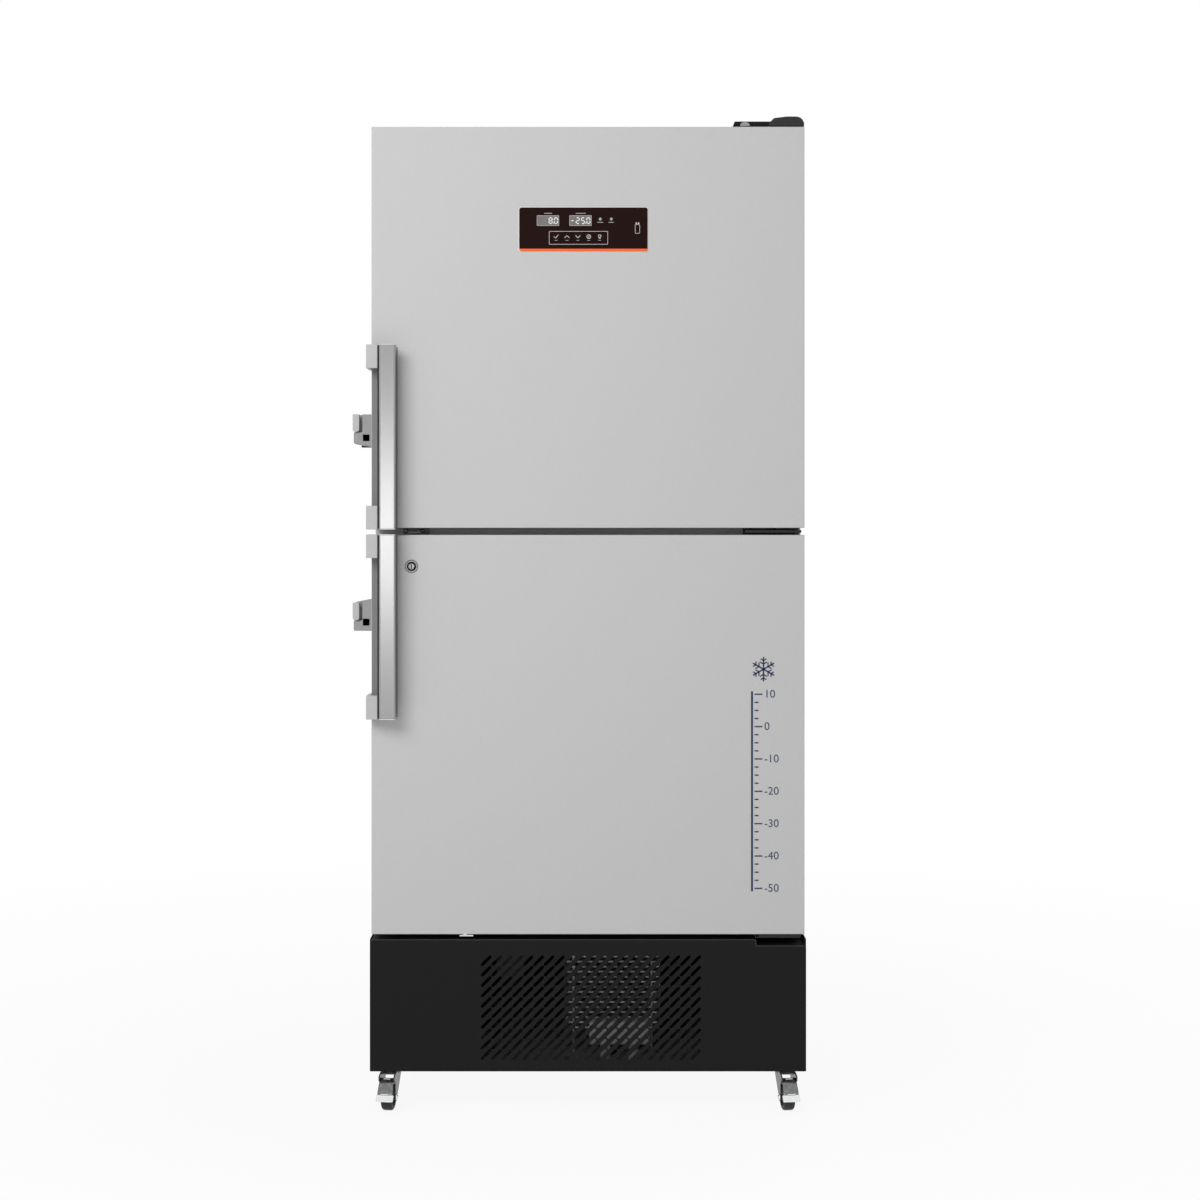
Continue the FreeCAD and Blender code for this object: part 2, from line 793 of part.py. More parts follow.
def electrical_boxes():
    """Supply box on the chassis floor and control box hung from the deck, both behind the slots."""
    floor = caster_height + chassis_floor
    width, depth, height = supply_size
    leg_width, leg_sheet = supply_leg
    x0 = cab_left + supply_left
    y0 = cab_front + supply_back
    supply = block(x0, x0 + width, y0, y0 + depth, floor + supply_rise, floor + supply_rise + height)
    leg_x = x0 + (width - leg_width) / 2
    leg_y = y0 + (depth - leg_sheet) / 2
    stand = block(leg_x, leg_x + leg_width, leg_y, leg_y + leg_sheet, floor, floor + supply_rise)
    width, depth, height = control_size
    deck = machine_bay_top - chassis_floor
    x0 = cab_left + control_left
    y0 = cab_front + control_back
    top = deck - control_drop
    control = block(x0, x0 + width, y0, y0 + depth, top - height, top)
    hanger_x = x0 + (width - hanger_width) / 2
    hanger = block(hanger_x, hanger_x + hanger_width, y0 + depth - hanger_sheet, y0 + depth, top, deck)
    return Part.makeCompound([fuse([supply, stand]), fuse([control, hanger])])


# Doors


def hinge_boss_at(z0, z1):
    return block(axis_x - hinge_boss / 2, cab_right - door_sheet / 2, door_front + door_sheet / 2,
                 axis_y + hinge_boss / 2, z0, z1)


def pin_bore(z0, z1):
    return rod(V(axis_x, axis_y, z0), V(0, 0, 1), pin_radius + running_clearance, z1 - z0)


def door_bosses(span):
    depth = pin_engagement + bore_end_gap + boss_end_wall
    return [hinge_boss_at(span[1] - depth, span[1] - door_sheet / 2),
            hinge_boss_at(span[0] + door_sheet / 2, span[0] + depth)]


def door_bores(span):
    depth = pin_engagement + bore_end_gap
    return [pin_bore(span[1] - depth, span[1] + 1), pin_bore(span[0] - 1, span[0] + depth)]


def door_inside(span):
    return block(cab_left + door_sheet, cab_right - door_sheet, door_front + door_sheet, door_back - door_sheet,
                 span[0] + door_sheet, span[1] - door_sheet)


def door_skin(span):
    """Folded steel pan with rounded front edges, a lip round the back and a boss at each hinge pin."""
    pan = block(cab_left, cab_right, door_front, door_back, span[0], span[1])
    front_edges = [e for e in pan.Edges if all(abs(v.Point.y - door_front) < 0.01 for v in e.Vertexes)]
    corners = upright_edges(pan, cab_left, door_front) + upright_edges(pan, cab_right, door_front)
    rounded = [e for e in front_edges if not any(e.isSame(c) for c in corners)] + corners
    pan = pan.makeFillet(door_edge_radius, rounded)
    opening = block(cab_left + door_back_lip, cab_right - door_back_lip, door_front + door_sheet, door_back + 1,
                    span[0] + door_back_lip, span[1] - door_back_lip)
    pan = pan.cut(door_inside(span)).cut(opening)
    pan = fuse([pan] + door_bosses(span))
    for bore in door_bores(span):
        pan = pan.cut(bore)
    return pan


def door_foam(span):
    opening = block(cab_left + door_back_lip, cab_right - door_back_lip, door_front + door_sheet, door_back,
                    span[0] + door_back_lip, span[1] - door_back_lip)
    foam = fuse([door_inside(span), opening])
    for boss in door_bosses(span):
        foam = foam.cut(boss)
    return foam


def panel_body(grow):
    x0 = panel_left + panel_lip - grow
    x1 = panel_left + panel_width - panel_lip + grow
    return block(x0, x1, door_front - 1, door_front + panel_body_depth,
                 panel_top - panel_height + panel_lip - grow, panel_top - panel_lip + grow)


def upper_door_skin():
    return door_skin(upper_door).cut(panel_body(panel_fit).common(
        block(panel_left, panel_left + panel_width, door_front - 1, door_front + door_sheet, 0, cabinet_top)))


def upper_door_foam():
    return door_foam(upper_door).cut(panel_body(0))


def lower_door_skin():
    barrel = lock_body_block(0.1, door_sheet + 2)
    slot = bolt_channel(0.5, lower_door[1] + 1)
    return door_skin(lower_door).cut(barrel).cut(slot)


def lower_door_foam():
    barrel = lock_body_block(0, lock_case_y()[0] - door_front + 2)
    x0, x1 = lock_case_x()
    y0, y1 = lock_case_y()
    z0, z1 = lock_case_z()
    case = block(x0, x1, y0, y1, z0, z1)
    return door_foam(lower_door).cut(barrel).cut(case).cut(bolt_channel(0.5, lower_door[1] + 1))


def door_liner(span, room):
    """Thin inner panel with a raised dyke that stands inside the room's opening."""
    inset = door_liner_inset
    plate = block(cab_left + inset, cab_right - inset, door_back, door_back + sheet, span[0] + inset, span[1] - inset)
    x0 = room_left + dyke_clearance
    x1 = room_right - dyke_clearance
    z0 = room[0] + dyke_clearance
    z1 = room[1] - dyke_clearance
    tip = cab_front + dyke_reach
    t = dyke_taper
    outer = Part.makeLoft([outline([V(x0, door_back, z0), V(x1, door_back, z0), V(x1, door_back, z1),
                                    V(x0, door_back, z1)]),
                           outline([V(x0 + t, tip, z0 + t), V(x1 - t, tip, z0 + t), V(x1 - t, tip, z1 - t),
                                    V(x0 + t, tip, z1 - t)])], True, True)
    w = dyke_width
    hollow = block(x0 + w, x1 - w, door_back + sheet, tip + 1, z0 + w, z1 - w)
    return fuse([plate, outer]).cut(hollow)


def gasket(span):
    """Magnetic seal: a foot on the door liner and a narrower bulb that faces the cabinet."""
    bars = []
    y0 = door_back + sheet
    y1 = cab_front - gasket_clearance
    middle = y0 + gasket_foot
    for inset, width, a, b in ((gasket_inset, gasket_width, y0, middle),
                               (gasket_inset + gasket_bulb_inset, gasket_bulb_width, middle, y1)):
        outer = block(cab_left + inset, cab_right - inset, a, b, span[0] + inset, span[1] - inset)
        far = inset + width
        inner = block(cab_left + far, cab_right - far, a - 1, b + 1, span[0] + far, span[1] - far)
        bars.append(outer.cut(inner))
    return fuse(bars)


def handle_bar(bottom):
    x0 = cab_left + bar_inset
    front = door_front - handle_reach
    bar = block(x0, x0 + bar_width, front, front + bar_depth, bottom, bottom + bar_length)
    edges = upright_edges(bar, x0, front) + upright_edges(bar, x0 + bar_width, front)
    return bar.makeFillet(bar_radius, edges)


def handle_brackets(bottom):
    """Two clips that grip the door's edge and carry the bar from behind."""
    left = cab_left - bracket_reach
    bar_back = door_front - handle_reach + bar_depth
    bar_left = cab_left + bar_inset
    far = bar_left + bar_width - bracket_step
    face = bar_back - bracket_lip
    web_back = bar_back + bracket_web
    shape = [
        (left, door_front + bracket_grip), (left, face + bracket_chamfer), (left + bracket_chamfer, face),
        (bar_left - bracket_lip, face), (bar_left - bracket_lip, bar_back), (far, bar_back), (far, web_back),
        (cab_left + bracket_step, web_back), (cab_left, web_back + bracket_step),
        (cab_left, door_front + bracket_grip),
    ]
    ends = (bottom, bottom + bar_length - bracket_height)
    return Part.makeCompound([plan_prism(shape, z, z + bracket_height) for z in ends])


# Padlock latches


def latch_frame(top, slope_on_top):
    """Front outline of a latch body, tapered on one side, and the height of its paddle's top."""
    outer = cab_left - latch_body_reach
    inner = outer + latch_chamfer
    bottom = top - latch_height
    if slope_on_top:
        points = [(outer, top - latch_slope - latch_chamfer), (inner, top - latch_slope), (cab_left, top),
                  (cab_left, bottom), (inner, bottom), (outer, bottom + latch_chamfer)]
        return points, top - latch_slope - latch_chamfer / 2
    points = [(outer, top - latch_chamfer), (inner, top), (cab_left, top), (cab_left, bottom),
              (inner, bottom + latch_slope - latch_chamfer), (outer, bottom + latch_slope)]
    return points, top


def paddle_pivot():
    return cab_left - latch_reach + paddle_width / 2, door_front + paddle_pivot_back


def padlock_cut(top, y0, y1):
    x1 = cab_left - padlock_hole_inset
    z0 = top - latch_height + padlock_hole_rise
    return block(x1 - padlock_hole, x1, y0, y1, z0, z0 + padlock_hole)


def latch_body(top, slope_on_top):
    points, paddle_top = latch_frame(top, slope_on_top)
    front = door_front + latch_set_back
    body = front_prism(points, front, front + latch_depth)
    pocket_floor = paddle_top - paddle_height - paddle_gap
    px, py = paddle_pivot()
    pocket_right = cab_left - latch_body_reach + latch_pocket
    pocket = block(cab_left - latch_body_reach - 1, pocket_right, front - 1, py + paddle_width / 2 + paddle_room,
                   pocket_floor, top + 1)
    pin = rod(V(px, py, pocket_floor - paddle_pin_depth), V(0, 0, 1), paddle_pin_radius, paddle_pin_length)
    body = body.cut(pocket).cut(padlock_cut(top, front - 1, front + latch_depth + 1))
    return fuse([body, pin])


def latch_paddle(top, slope_on_top):
    paddle_top = latch_frame(top, slope_on_top)[1]
    bottom = paddle_top - paddle_height
    px, py = paddle_pivot()
    half = paddle_width / 2
    plate = block(px - half, px + half, door_front + paddle_front, py, bottom, paddle_top)
    eye = rod(V(px, py, bottom), V(0, 0, 1), half, paddle_height)
    bore = rod(V(px, py, bottom - 1), V(0, 0, 1), paddle_pin_radius + running_clearance,
               paddle_pin_length - paddle_pin_depth + 2)
    return fuse([plate, eye]).cut(bore)


def latch_keepers():
    """Angle plates on the cabinet side whose tongues line up with the padlock holes."""
    keepers = []
    for top in (upper_latch_top, lower_latch_top):
        bottom = top - latch_height
        front = cab_front - keeper_stand
        plate = block(cab_left - keeper_sheet, cab_left, front, cab_front + keeper_depth, bottom, top)
        tongue = block(cab_left - keeper_reach, cab_left, front, front + keeper_sheet, bottom,
                       top - keeper_tongue_drop)
        keepers.append(fuse([plate, tongue]).cut(padlock_cut(top, front - 1, front + keeper_sheet + 1)))
    return Part.makeCompound(keepers)


# Cam lock: turning the plug swings a crank pin in the bolt's slot and lifts the bolt


def lock_case_x():
    return lock_x - case_left, lock_x + case_right


def lock_case_y():
    return door_front + case_front, door_front + case_back


def lock_case_z():
    return lock_z - case_below, lock_z + case_above


def bolt_x():
    return lock_x - bolt_left, lock_x - bolt_left + bolt_width


def bolt_y():
    return door_front + bolt_set_back, door_front + bolt_set_back + bolt_depth


def bolt_channel(gap, top):
    x0, x1 = bolt_x()
    y0, y1 = bolt_y()
    return block(x0 - gap, x1 + gap, y0 - gap, y1 + gap, lock_z, top)


def lock_body_block(grow, depth):
    half = lock_body_half + grow
    return block(lock_x - half, lock_x + half, door_front, door_front + depth, lock_z - half, lock_z + half)


def lock_barrel():
    """Flanged barrel in the door skin with the guide case of the bolt behind it."""
    face = door_front - lock_flange_height
    flange = rod(V(lock_x, face, lock_z), V(0, 1, 0), lock_flange_radius, lock_flange_height)
    barrel = lock_body_block(0, lock_body_depth)
    x0, x1 = lock_case_x()
    y0, y1 = lock_case_y()
    z0, z1 = lock_case_z()
    wall = case_wall
    case = block(x0, x1, y0, y1, z0, z1).cut(block(x0 + wall, x1 - wall, y0 + wall, y1 - wall, z0 - 1, z1 + 1))
    bx0, bx1 = bolt_x()
    by0 = bolt_y()[0]
    guides = [block(x0 + wall, bx0 - bolt_clearance, by0, y1 - wall, z1 - case_guide, z1),
              block(bx1 + bolt_clearance, x1 - wall, by0, y1 - wall, z1 - case_guide, z1)]
    bore = rod(V(lock_x, face - 1, lock_z), V(0, 1, 0), lock_plug_radius + running_clearance,
               lock_flange_height + 1 + lock_body_depth + crank_gap)
    return fuse([flange, barrel, case] + guides).cut(bore)


def lock_cylinder():
    """Plug with its keyway, and the crank behind it whose pin runs in the bolt's slot."""
    face = door_front - lock_flange_height - lock_plug_proud
    crank_y = door_front + lock_body_depth + crank_gap
    crank_back = crank_y + crank_sheet
    plug = rod(V(lock_x, face, lock_z), V(0, 1, 0), lock_plug_radius, crank_y - face)
    keyway = block(lock_x - keyway_width / 2, lock_x + keyway_width / 2, face - 1, face + keyway_depth,
                   lock_z - keyway_height / 2, lock_z + keyway_height / 2)
    crank = block(lock_x - crank_width / 2, lock_x + crank_width / 2, crank_y, crank_back,
                  lock_z - bolt_travel - crank_tip, lock_z + crank_width / 2)
    pin = rod(V(lock_x, crank_back - crank_gap, lock_z - bolt_travel), V(0, 1, 0), crank_pin_radius,
              bolt_y()[1] - crank_back)
    return fuse([plug, crank, pin]).cut(keyway)


def lock_bolt():
    """Flat bolt whose foot has the cross slot that the crank pin lifts it by."""
    x0, x1 = bolt_x()
    y0, y1 = bolt_y()
    foot_top = lock_z - bolt_foot_top
    foot = block(lock_x - bolt_foot_left, x1, y0, y1, lock_z - bolt_foot_bottom, foot_top)
    stem = block(x0, x1, y0, y1, foot_top - 1, lower_door[1] - bolt_top_gap)
    r = crank_pin_radius
    slot_z = lock_z - bolt_travel
    slot = block(lock_x - bolt_travel - r - bolt_slot_end, lock_x + r + bolt_slot_end, y0 - 1, y1 + 1,
                 slot_z - r - bolt_slot_below, slot_z + r + bolt_clearance)
    return fuse([foot, stem]).cut(slot)


def lock_keeper():
    """Strike plate on the mullion whose lip stands over the bolt."""
    x0, x1 = bolt_x()
    y0, y1 = bolt_y()
    gap = bolt_hole_gap
    z0 = lower_door[1] + strike_rise
    lip = block(x0 - strike_lip_margin, x1 + strike_lip_margin, y0 - strike_nose, cab_front, z0, z0 + strike_lip)
    plate = block(lock_x - strike_left, lock_x + strike_right, cab_front - sheet, cab_front,
                  z0 - strike_below, z0 + strike_above)
    hole = block(x0 - gap, x1 + gap, y0 - gap, y1 + gap, z0 - 1, z0 + strike_lip + 1)
    return fuse([lip, plate]).cut(hole)


# Hinges


def top_hinge():
    """Plate on the roof with the pin that the upper door hangs on."""
    z = cabinet_top
    plate = block(cab_right - hinge_cover_length + top_plate_inset, axis_x + top_plate_margin,
                  axis_y - top_plate_nose, cab_front + top_plate_back, z, z + hinge_plate)
    pin = rod(V(axis_x, axis_y, z + hinge_plate + pin_head), V(0, 0, -1), pin_radius,
              hinge_plate + pin_head + door_top_clearance + pin_engagement)
    return fuse([plate, pin])


def middle_hinge():
    """Angle plate between the doors whose one pin carries the upper door and holds the lower."""
    z0 = mullion_centre - hinge_plate / 2
    z1 = mullion_centre + hinge_plate / 2
    x0 = cab_right - middle_plate_length
    x1 = axis_x + middle_plate_margin
    half = middle_flange_height / 2
    reach = between_doors / 2 - hinge_plate / 2 + pin_engagement
    plate = block(x0, x1, axis_y - hinge_nose, cab_front, z0, z1)
    flange = block(x0, x1, cab_front - hinge_flange_sheet, cab_front, mullion_centre - half, mullion_centre + half)
    pin = rod(V(axis_x, axis_y, z0 - reach), V(0, 0, 1), pin_radius, hinge_plate + 2 * reach)
    return fuse([plate, flange, pin])


def bottom_hinge():
    """Angle plate below the lower door, seen in the notch of the base cover."""
    z1 = machine_bay_top - bottom_plate_drop
    z0 = z1 - hinge_plate
    x0 = cab_right - bottom_plate_length
    x1 = axis_x + bottom_plate_margin
    plate = block(x0, x1, axis_y - hinge_nose, cab_front, z0, z1)
    flange = block(x0, x1, cab_front - hinge_flange_sheet, cab_front,
                   cover_top - cover_notch_depth + bottom_flange_gap, z1 + bottom_flange_rise)
    pin = rod(V(axis_x, axis_y, z0), V(0, 0, 1), pin_radius, hinge_plate + bottom_plate_drop + pin_engagement)
    return fuse([plate, flange, pin])


def hinge_cover():
    """Black cap over the top hinge: a low tail and a rounded hump above the pin."""
    wall = hinge_cover_wall
    notch_x, notch_y = hinge_cover_notch
    x0 = cab_right - hinge_cover_length
    hump_x = cab_right - hinge_cover_hump
    y0 = door_front + hinge_cover_set_back
    y1 = cab_front + hinge_cover_back
    hump_y = y1 - hinge_hump_inset
    z = cabinet_top
    low = block(x0, cab_right, y0, y1, z, z + hinge_cover_height)
    low = low.makeFillet(hinge_cover_corner, upright_edges(low, x0, y0) + upright_edges(low, x0, y1))
    low = low.cut(block(cab_right - notch_x, cab_right + 1, y0 - 1, y0 + notch_y, z - 1, z + hinge_hump_height))
    hump = block(hump_x, cab_right, y0, hump_y, z, z + hinge_hump_height)
    hump = hump.makeFillet(hinge_hump_corner, upright_edges(hump, cab_right, y0))
    cavity = block(x0 + 2 * wall + 1, cab_right - 2 * wall, y0 + wall, y1 - wall, z - 1,
                   z + hinge_cover_height - wall)
    high = block(hump_x + 2 * wall, cab_right - 4 * wall, y0 + 4 * wall, hump_y - 2 * wall, z - 1,
                 z + hinge_hump_height - 2 * wall)
    return fuse([low, hump]).cut(cavity).cut(high)


# Display panel and keys


def key_place(i):
    return panel_left + first_key_offset + key_pitch * i, panel_top - key_drop


def display_panel():
    z0 = panel_top - panel_height
    face = block(panel_left, panel_left + panel_width, door_front - panel_proud, door_front, z0, panel_top)
    panel = fuse([face, panel_body(0).common(block(panel_left, panel_left + panel_width, door_front,
                                                   door_back, z0, panel_top))])
    for i in range(key_count):
        x, z = key_place(i)
        half = key_size / 2 + key_side_gap
        depth = key_thickness + key_travel + key_floor_gap
        panel = panel.cut(block(x - half, x + half, door_front - panel_proud - 1,
                                door_front - panel_proud + depth, z - half, z + half))
    return panel.cut(Part.makeCompound(window_blocks()))


def window_blocks():
    made = []
    for offset in window_offsets:
        x = panel_left + offset
        z = panel_top - window_drop
        y = door_front - panel_proud
        made.append(block(x, x + window_width, y, y + window_depth, z - window_height, z))
    return made


def panel_key(i):
    x, z = key_place(i)
    half = key_size / 2
    y = door_front - panel_proud
    return block(x - half, x + half, y, y + key_thickness, z - half, z + half)


# Casters


def place(shape, x, y, turn):
    placed = shape.copy()
    placed.rotate(V(0, 0, 0), V(0, 0, 1), turn)
    placed.translate(V(x, y, 0))
    return placed


def caster_seat():
    """Mounting plate with clipped corners and the kingpin that the fork turns on."""
    z1 = caster_height
    z0 = z1 - caster_plate_thickness
    half = caster_plate / 2
    clip = half - caster_plate_clip
    plate = plan_prism([(-half, -clip), (-clip, -half), (clip, -half), (half, -clip), (half, clip), (clip, half),
                        (-clip, half), (-half, clip)], z0, z1)
    pin = rod(V(0, 0, z0 - kingpin_length), V(0, 0, 1), pin_radius, kingpin_length)
    return fuse([plate, pin])


def caster_fork(with_pedal):
    """Crown on the kingpin, two legs to the axle, and ears for the pedal's pin where there is one."""
    top = caster_height - caster_plate_thickness - fork_top_gap
    inner = wheel_width / 2 + fork_gap
    outer = inner + fork_sheet
    heel = race_radius - fork_heel
    y = -caster_trail
    nose = y - fork_crown
    foot_front = y - fork_foot
    reach, ear_top, ear_bottom, ear_root = fork_ear
    crown = block(-outer, outer, nose, heel, top - fork_crown, top)
    ear = [(nose, top)]
    if with_pedal:
        ear += [(y - reach, top - ear_top), (y - reach + 1, top - ear_bottom), (foot_front, top - ear_root)]
    foot_high = axle_z + axle_radius + axle_overlap
    foot_low = axle_z - fork_foot
    foot_half = axle_radius + axle_overlap
    leg = [(heel, top)] + ear + [(foot_front, foot_high), (y - foot_half, foot_low), (y + foot_half, foot_low),
                                 (y + fork_foot + axle_overlap, foot_high), (heel, top - fork_foot)]
    legs = [side_prism(leg, -outer, -inner), side_prism(leg, inner, outer)]
    span = inner + axle_overlap
    axle = rod(V(-span, y, axle_z), V(1, 0, 0), axle_radius, 2 * span)
    nut = [(y + a, axle_z + b) for a, b in ring(nut_radius, 6)]
    nuts = [side_prism(nut, -outer - nut_height, -outer), side_prism(nut, outer, outer + nut_height)]
    shapes = [crown, axle] + legs + nuts
    if with_pedal:
        py, pz = pedal_pivot()
        shapes.append(rod(V(-span, py, pz), V(1, 0, 0), pedal_pin_radius, 2 * span))
    hole = rod(V(0, 0, top - fork_crown - 1), V(0, 0, 1), pin_radius + running_clearance, fork_crown + 2)
    return fuse(shapes).cut(hole)


def caster_wheel():
    half = wheel_width / 2
    flat_radius = wheel_radius / math.cos(math.pi / wheel_sides)
    tread = [(-caster_trail + a, axle_z + b) for a, b in ring(flat_radius, wheel_sides)]
    wheel = side_prism(tread, -half, half)
    bore = rod(V(-half - 1, -caster_trail, axle_z), V(1, 0, 0), axle_radius + running_clearance, wheel_width + 2)
    return wheel.cut(bore)


def pedal_pivot():
    angle = math.radians(pedal_pin_angle)
    reach = pedal_radius + pedal_pin_reach
    return -caster_trail + reach * math.cos(angle), axle_z + reach * math.sin(angle)


def brake_pedal():
    """Curved toe plate that follows the wheel, with a lip at its end and a boss on its pin."""
    inner = pedal_radius
    outer = pedal_radius + pedal_sheet

    def at(radius, degrees):
        a = math.radians(degrees)
        return -caster_trail + radius * math.cos(a), axle_z + radius * math.sin(a)

    step = (pedal_end - pedal_start) / pedal_bends
    angles = [pedal_start + step * i for i in range(pedal_bends + 1)]
    points = [at(outer, a) for a in angles]
    points += [at(outer + pedal_lip, pedal_end + 4), at(outer + pedal_lip, pedal_end + 8), at(inner, pedal_end + 6)]
    points += [at(inner, a) for a in reversed(angles)]
    half = pedal_width / 2
    inside = wheel_width / 2 + fork_gap - pedal_side_gap
    plate = side_prism(points, -half, half)
    clear_y, clear_z = at(inner, (pedal_start + pedal_end) / 2 - 6)
    for x0, x1 in ((inside, half + 1), (-half - 1, -inside)):
        plate = plate.cut(block(x0, x1, clear_y, 0, clear_z - pedal_lip, caster_height))
    py, pz = pedal_pivot()
    wall = pedal_pin_radius + pedal_boss_wall
    boss = block(-inside, inside, py - wall, py + wall, pz - wall, pz + wall)
    bore = rod(V(-half, py, pz), V(1, 0, 0), pedal_pin_radius + running_clearance, 2 * half)
    return fuse([plate, boss]).cut(bore)


def caster_places():
    return (
        ("front_left", left_caster_x, front_caster_y, -caster_turn, True),
        ("front_right", right_caster_x, front_caster_y, caster_turn, True),
        ("rear_left", left_caster_x, rear_caster_y, 0.0, False),
        ("rear_right", right_caster_x, rear_caster_y, 0.0, False),
    )


def save_casters():
    save("caster_plates", Part.makeCompound([place(caster_seat(), x, y, 0) for _, x, y, _, _ in caster_places()]))
    for name, x, y, turn, braked in caster_places():
        save(name + "_caster_fork", place(caster_fork(braked), x, y, turn))
        save(name + "_caster_wheel", place(caster_wheel(), x, y, turn))
        if braked:
            save(name + "_brake_pedal", place(brake_pedal(), x, y, turn))


def main():
    os.makedirs("parts", exist_ok=True)
    save("outer_casing", outer_casing())
    save("back_panel", back_panel())
    save("cabinet_insulation", cabinet_insulation())
    save("upper_liner", upper_liner())
    save("lower_liner", lower_liner())
    save("centre_mullion", centre_mullion())
    save("access_port", access_port())
    save("wire_shelves", wire_shelves())
    save("evaporator_covers", evaporator_covers())
    save("base_frame", base_frame())
    save("base_cover", base_cover())
    save("rear_guard", rear_guard())
    save("condenser", condenser())
    save("fan_shroud", fan_shroud())
    save("fan_rotor", fan_rotor())
    save("compressor", compressor())
    save("electrical_boxes", electrical_boxes())
    save("upper_door_skin", upper_door_skin())
    save("upper_door_foam", upper_door_foam())
    save("upper_door_liner", door_liner(upper_door, upper_room))
    save("upper_door_gasket", gasket(upper_door))
    save("upper_handle_bar", handle_bar(upper_bar_bottom))
    save("upper_handle_brackets", handle_brackets(upper_bar_bottom))
    save("upper_latch_body", latch_body(upper_latch_top, False))
    save("upper_latch_paddle", latch_paddle(upper_latch_top, False))
    save("lower_door_skin", lower_door_skin())
    save("lower_door_foam", lower_door_foam())
    save("lower_door_liner", door_liner(lower_door, lower_room))
    save("lower_door_gasket", gasket(lower_door))
    save("lower_handle_bar", handle_bar(lower_bar_top - bar_length))
    save("lower_handle_brackets", handle_brackets(lower_bar_top - bar_length))
    save("lower_latch_body", latch_body(lower_latch_top, True))
    save("lower_latch_paddle", latch_paddle(lower_latch_top, True))
    save("latch_keepers", latch_keepers())
    save("lock_barrel", lock_barrel())
    save("lock_cylinder", lock_cylinder())
    save("lock_bolt", lock_bolt())
    save("lock_keeper", lock_keeper())
    save("top_hinge", top_hinge())
    save("middle_hinge", middle_hinge())
    save("bottom_hinge", bottom_hinge())
    save("hinge_cover", hinge_cover())
    save("display_panel", display_panel())
    save("display_windows", Part.makeCompound(window_blocks()))
    for i, name in enumerate(("tick_key", "up_key", "down_key", "mute_key", "lamp_key")):
        save(name, panel_key(i))
    save_casters()


main()
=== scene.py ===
import math
import bmesh
import bpy
from mathutils import Matrix, Vector


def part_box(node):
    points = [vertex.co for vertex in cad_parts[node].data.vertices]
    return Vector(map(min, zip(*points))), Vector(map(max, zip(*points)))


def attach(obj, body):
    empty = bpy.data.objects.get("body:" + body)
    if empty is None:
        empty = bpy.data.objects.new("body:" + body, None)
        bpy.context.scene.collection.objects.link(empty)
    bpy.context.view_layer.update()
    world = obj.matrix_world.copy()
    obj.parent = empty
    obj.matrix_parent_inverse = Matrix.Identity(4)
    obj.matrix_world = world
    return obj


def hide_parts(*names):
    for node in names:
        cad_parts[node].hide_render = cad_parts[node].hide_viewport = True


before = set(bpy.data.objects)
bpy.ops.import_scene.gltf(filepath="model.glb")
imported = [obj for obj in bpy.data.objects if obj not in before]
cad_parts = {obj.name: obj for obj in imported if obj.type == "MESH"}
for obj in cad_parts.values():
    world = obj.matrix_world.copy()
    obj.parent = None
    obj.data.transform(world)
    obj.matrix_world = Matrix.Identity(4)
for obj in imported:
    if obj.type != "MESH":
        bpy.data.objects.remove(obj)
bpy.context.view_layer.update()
print("frame loaded with", len(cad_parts), "nodes")


# Colours are typed as the 0 to 255 tones of a screen, greys as one number

def tone(value):
    channels = value if isinstance(value, tuple) else (value, value, value)
    return (*[((channel / 255 + 0.055) / 1.055) ** 2.4 for channel in channels], 1.0)


# Every finish drifts between two tones, wanders a little in roughness and carries a fine grain.
# stretch pulls the grain out along the axis with the small number, as brushing does.

def makeFinish(name, look):
    material = bpy.data.materials.new(name)
    material.use_nodes = True
    nodes = material.node_tree.nodes
    links = material.node_tree.links
    shader = nodes["Principled BSDF"]
    shader.inputs["Metallic"].default_value = look.get("metal", 0.0)
    shader.inputs["Specular IOR Level"].default_value = look.get("specular", 0.5)
    shader.inputs["Coat Weight"].default_value = look.get("coat", 0.0)
    shader.inputs["Coat Roughness"].default_value = look.get("coatRoughness", 0.15)
    coordinates = nodes.new("ShaderNodeTexCoord")
    stretch = nodes.new("ShaderNodeMapping")
    stretch.inputs["Scale"].default_value = look.get("stretch", (1.0, 1.0, 1.0))
    links.new(coordinates.outputs["Object"], stretch.inputs["Vector"])
    if look.get("spangle"):
        drift = nodes.new("ShaderNodeTexVoronoi")  # crystals of hot dip zinc
        driftValue = drift.outputs["Color"]
    else:
        drift = nodes.new("ShaderNodeTexNoise")
        drift.inputs["Detail"].default_value = 4.0
        driftValue = drift.outputs[0]
    drift.inputs["Scale"].default_value = look.get("driftScale", 5.0)
    links.new(stretch.outputs["Vector"], drift.inputs["Vector"])
    blend = nodes.new("ShaderNodeMix")
    blend.data_type = "RGBA"
    blend.inputs[6].default_value = tone(look["tones"][0])
    blend.inputs[7].default_value = tone(look["tones"][1])
    links.new(driftValue, blend.inputs[0])
    links.new(blend.outputs[2], shader.inputs["Base Color"])
    grain = nodes.new("ShaderNodeTexNoise")
    grain.inputs["Scale"].default_value = look.get("grainScale", 900.0)
    grain.inputs["Detail"].default_value = 3.0
    links.new(stretch.outputs["Vector"], grain.inputs["Vector"])
    wander = nodes.new("ShaderNodeMapRange")
    wander.inputs["To Min"].default_value = look["roughness"] - look.get("swing", 0.05)
    wander.inputs["To Max"].default_value = look["roughness"] + look.get("swing", 0.05)
    links.new(grain.outputs[0], wander.inputs["Value"])
    links.new(wander.outputs["Result"], shader.inputs["Roughness"])
    bump = nodes.new("ShaderNodeBump")
    bump.inputs["Strength"].default_value = look.get("bump", 0.15)
    bump.inputs["Distance"].default_value = look.get("depth", 0.0001)
    links.new(grain.outputs[0], bump.inputs["Height"])
    links.new(bump.outputs["Normal"], shader.inputs["Normal"])
    return material


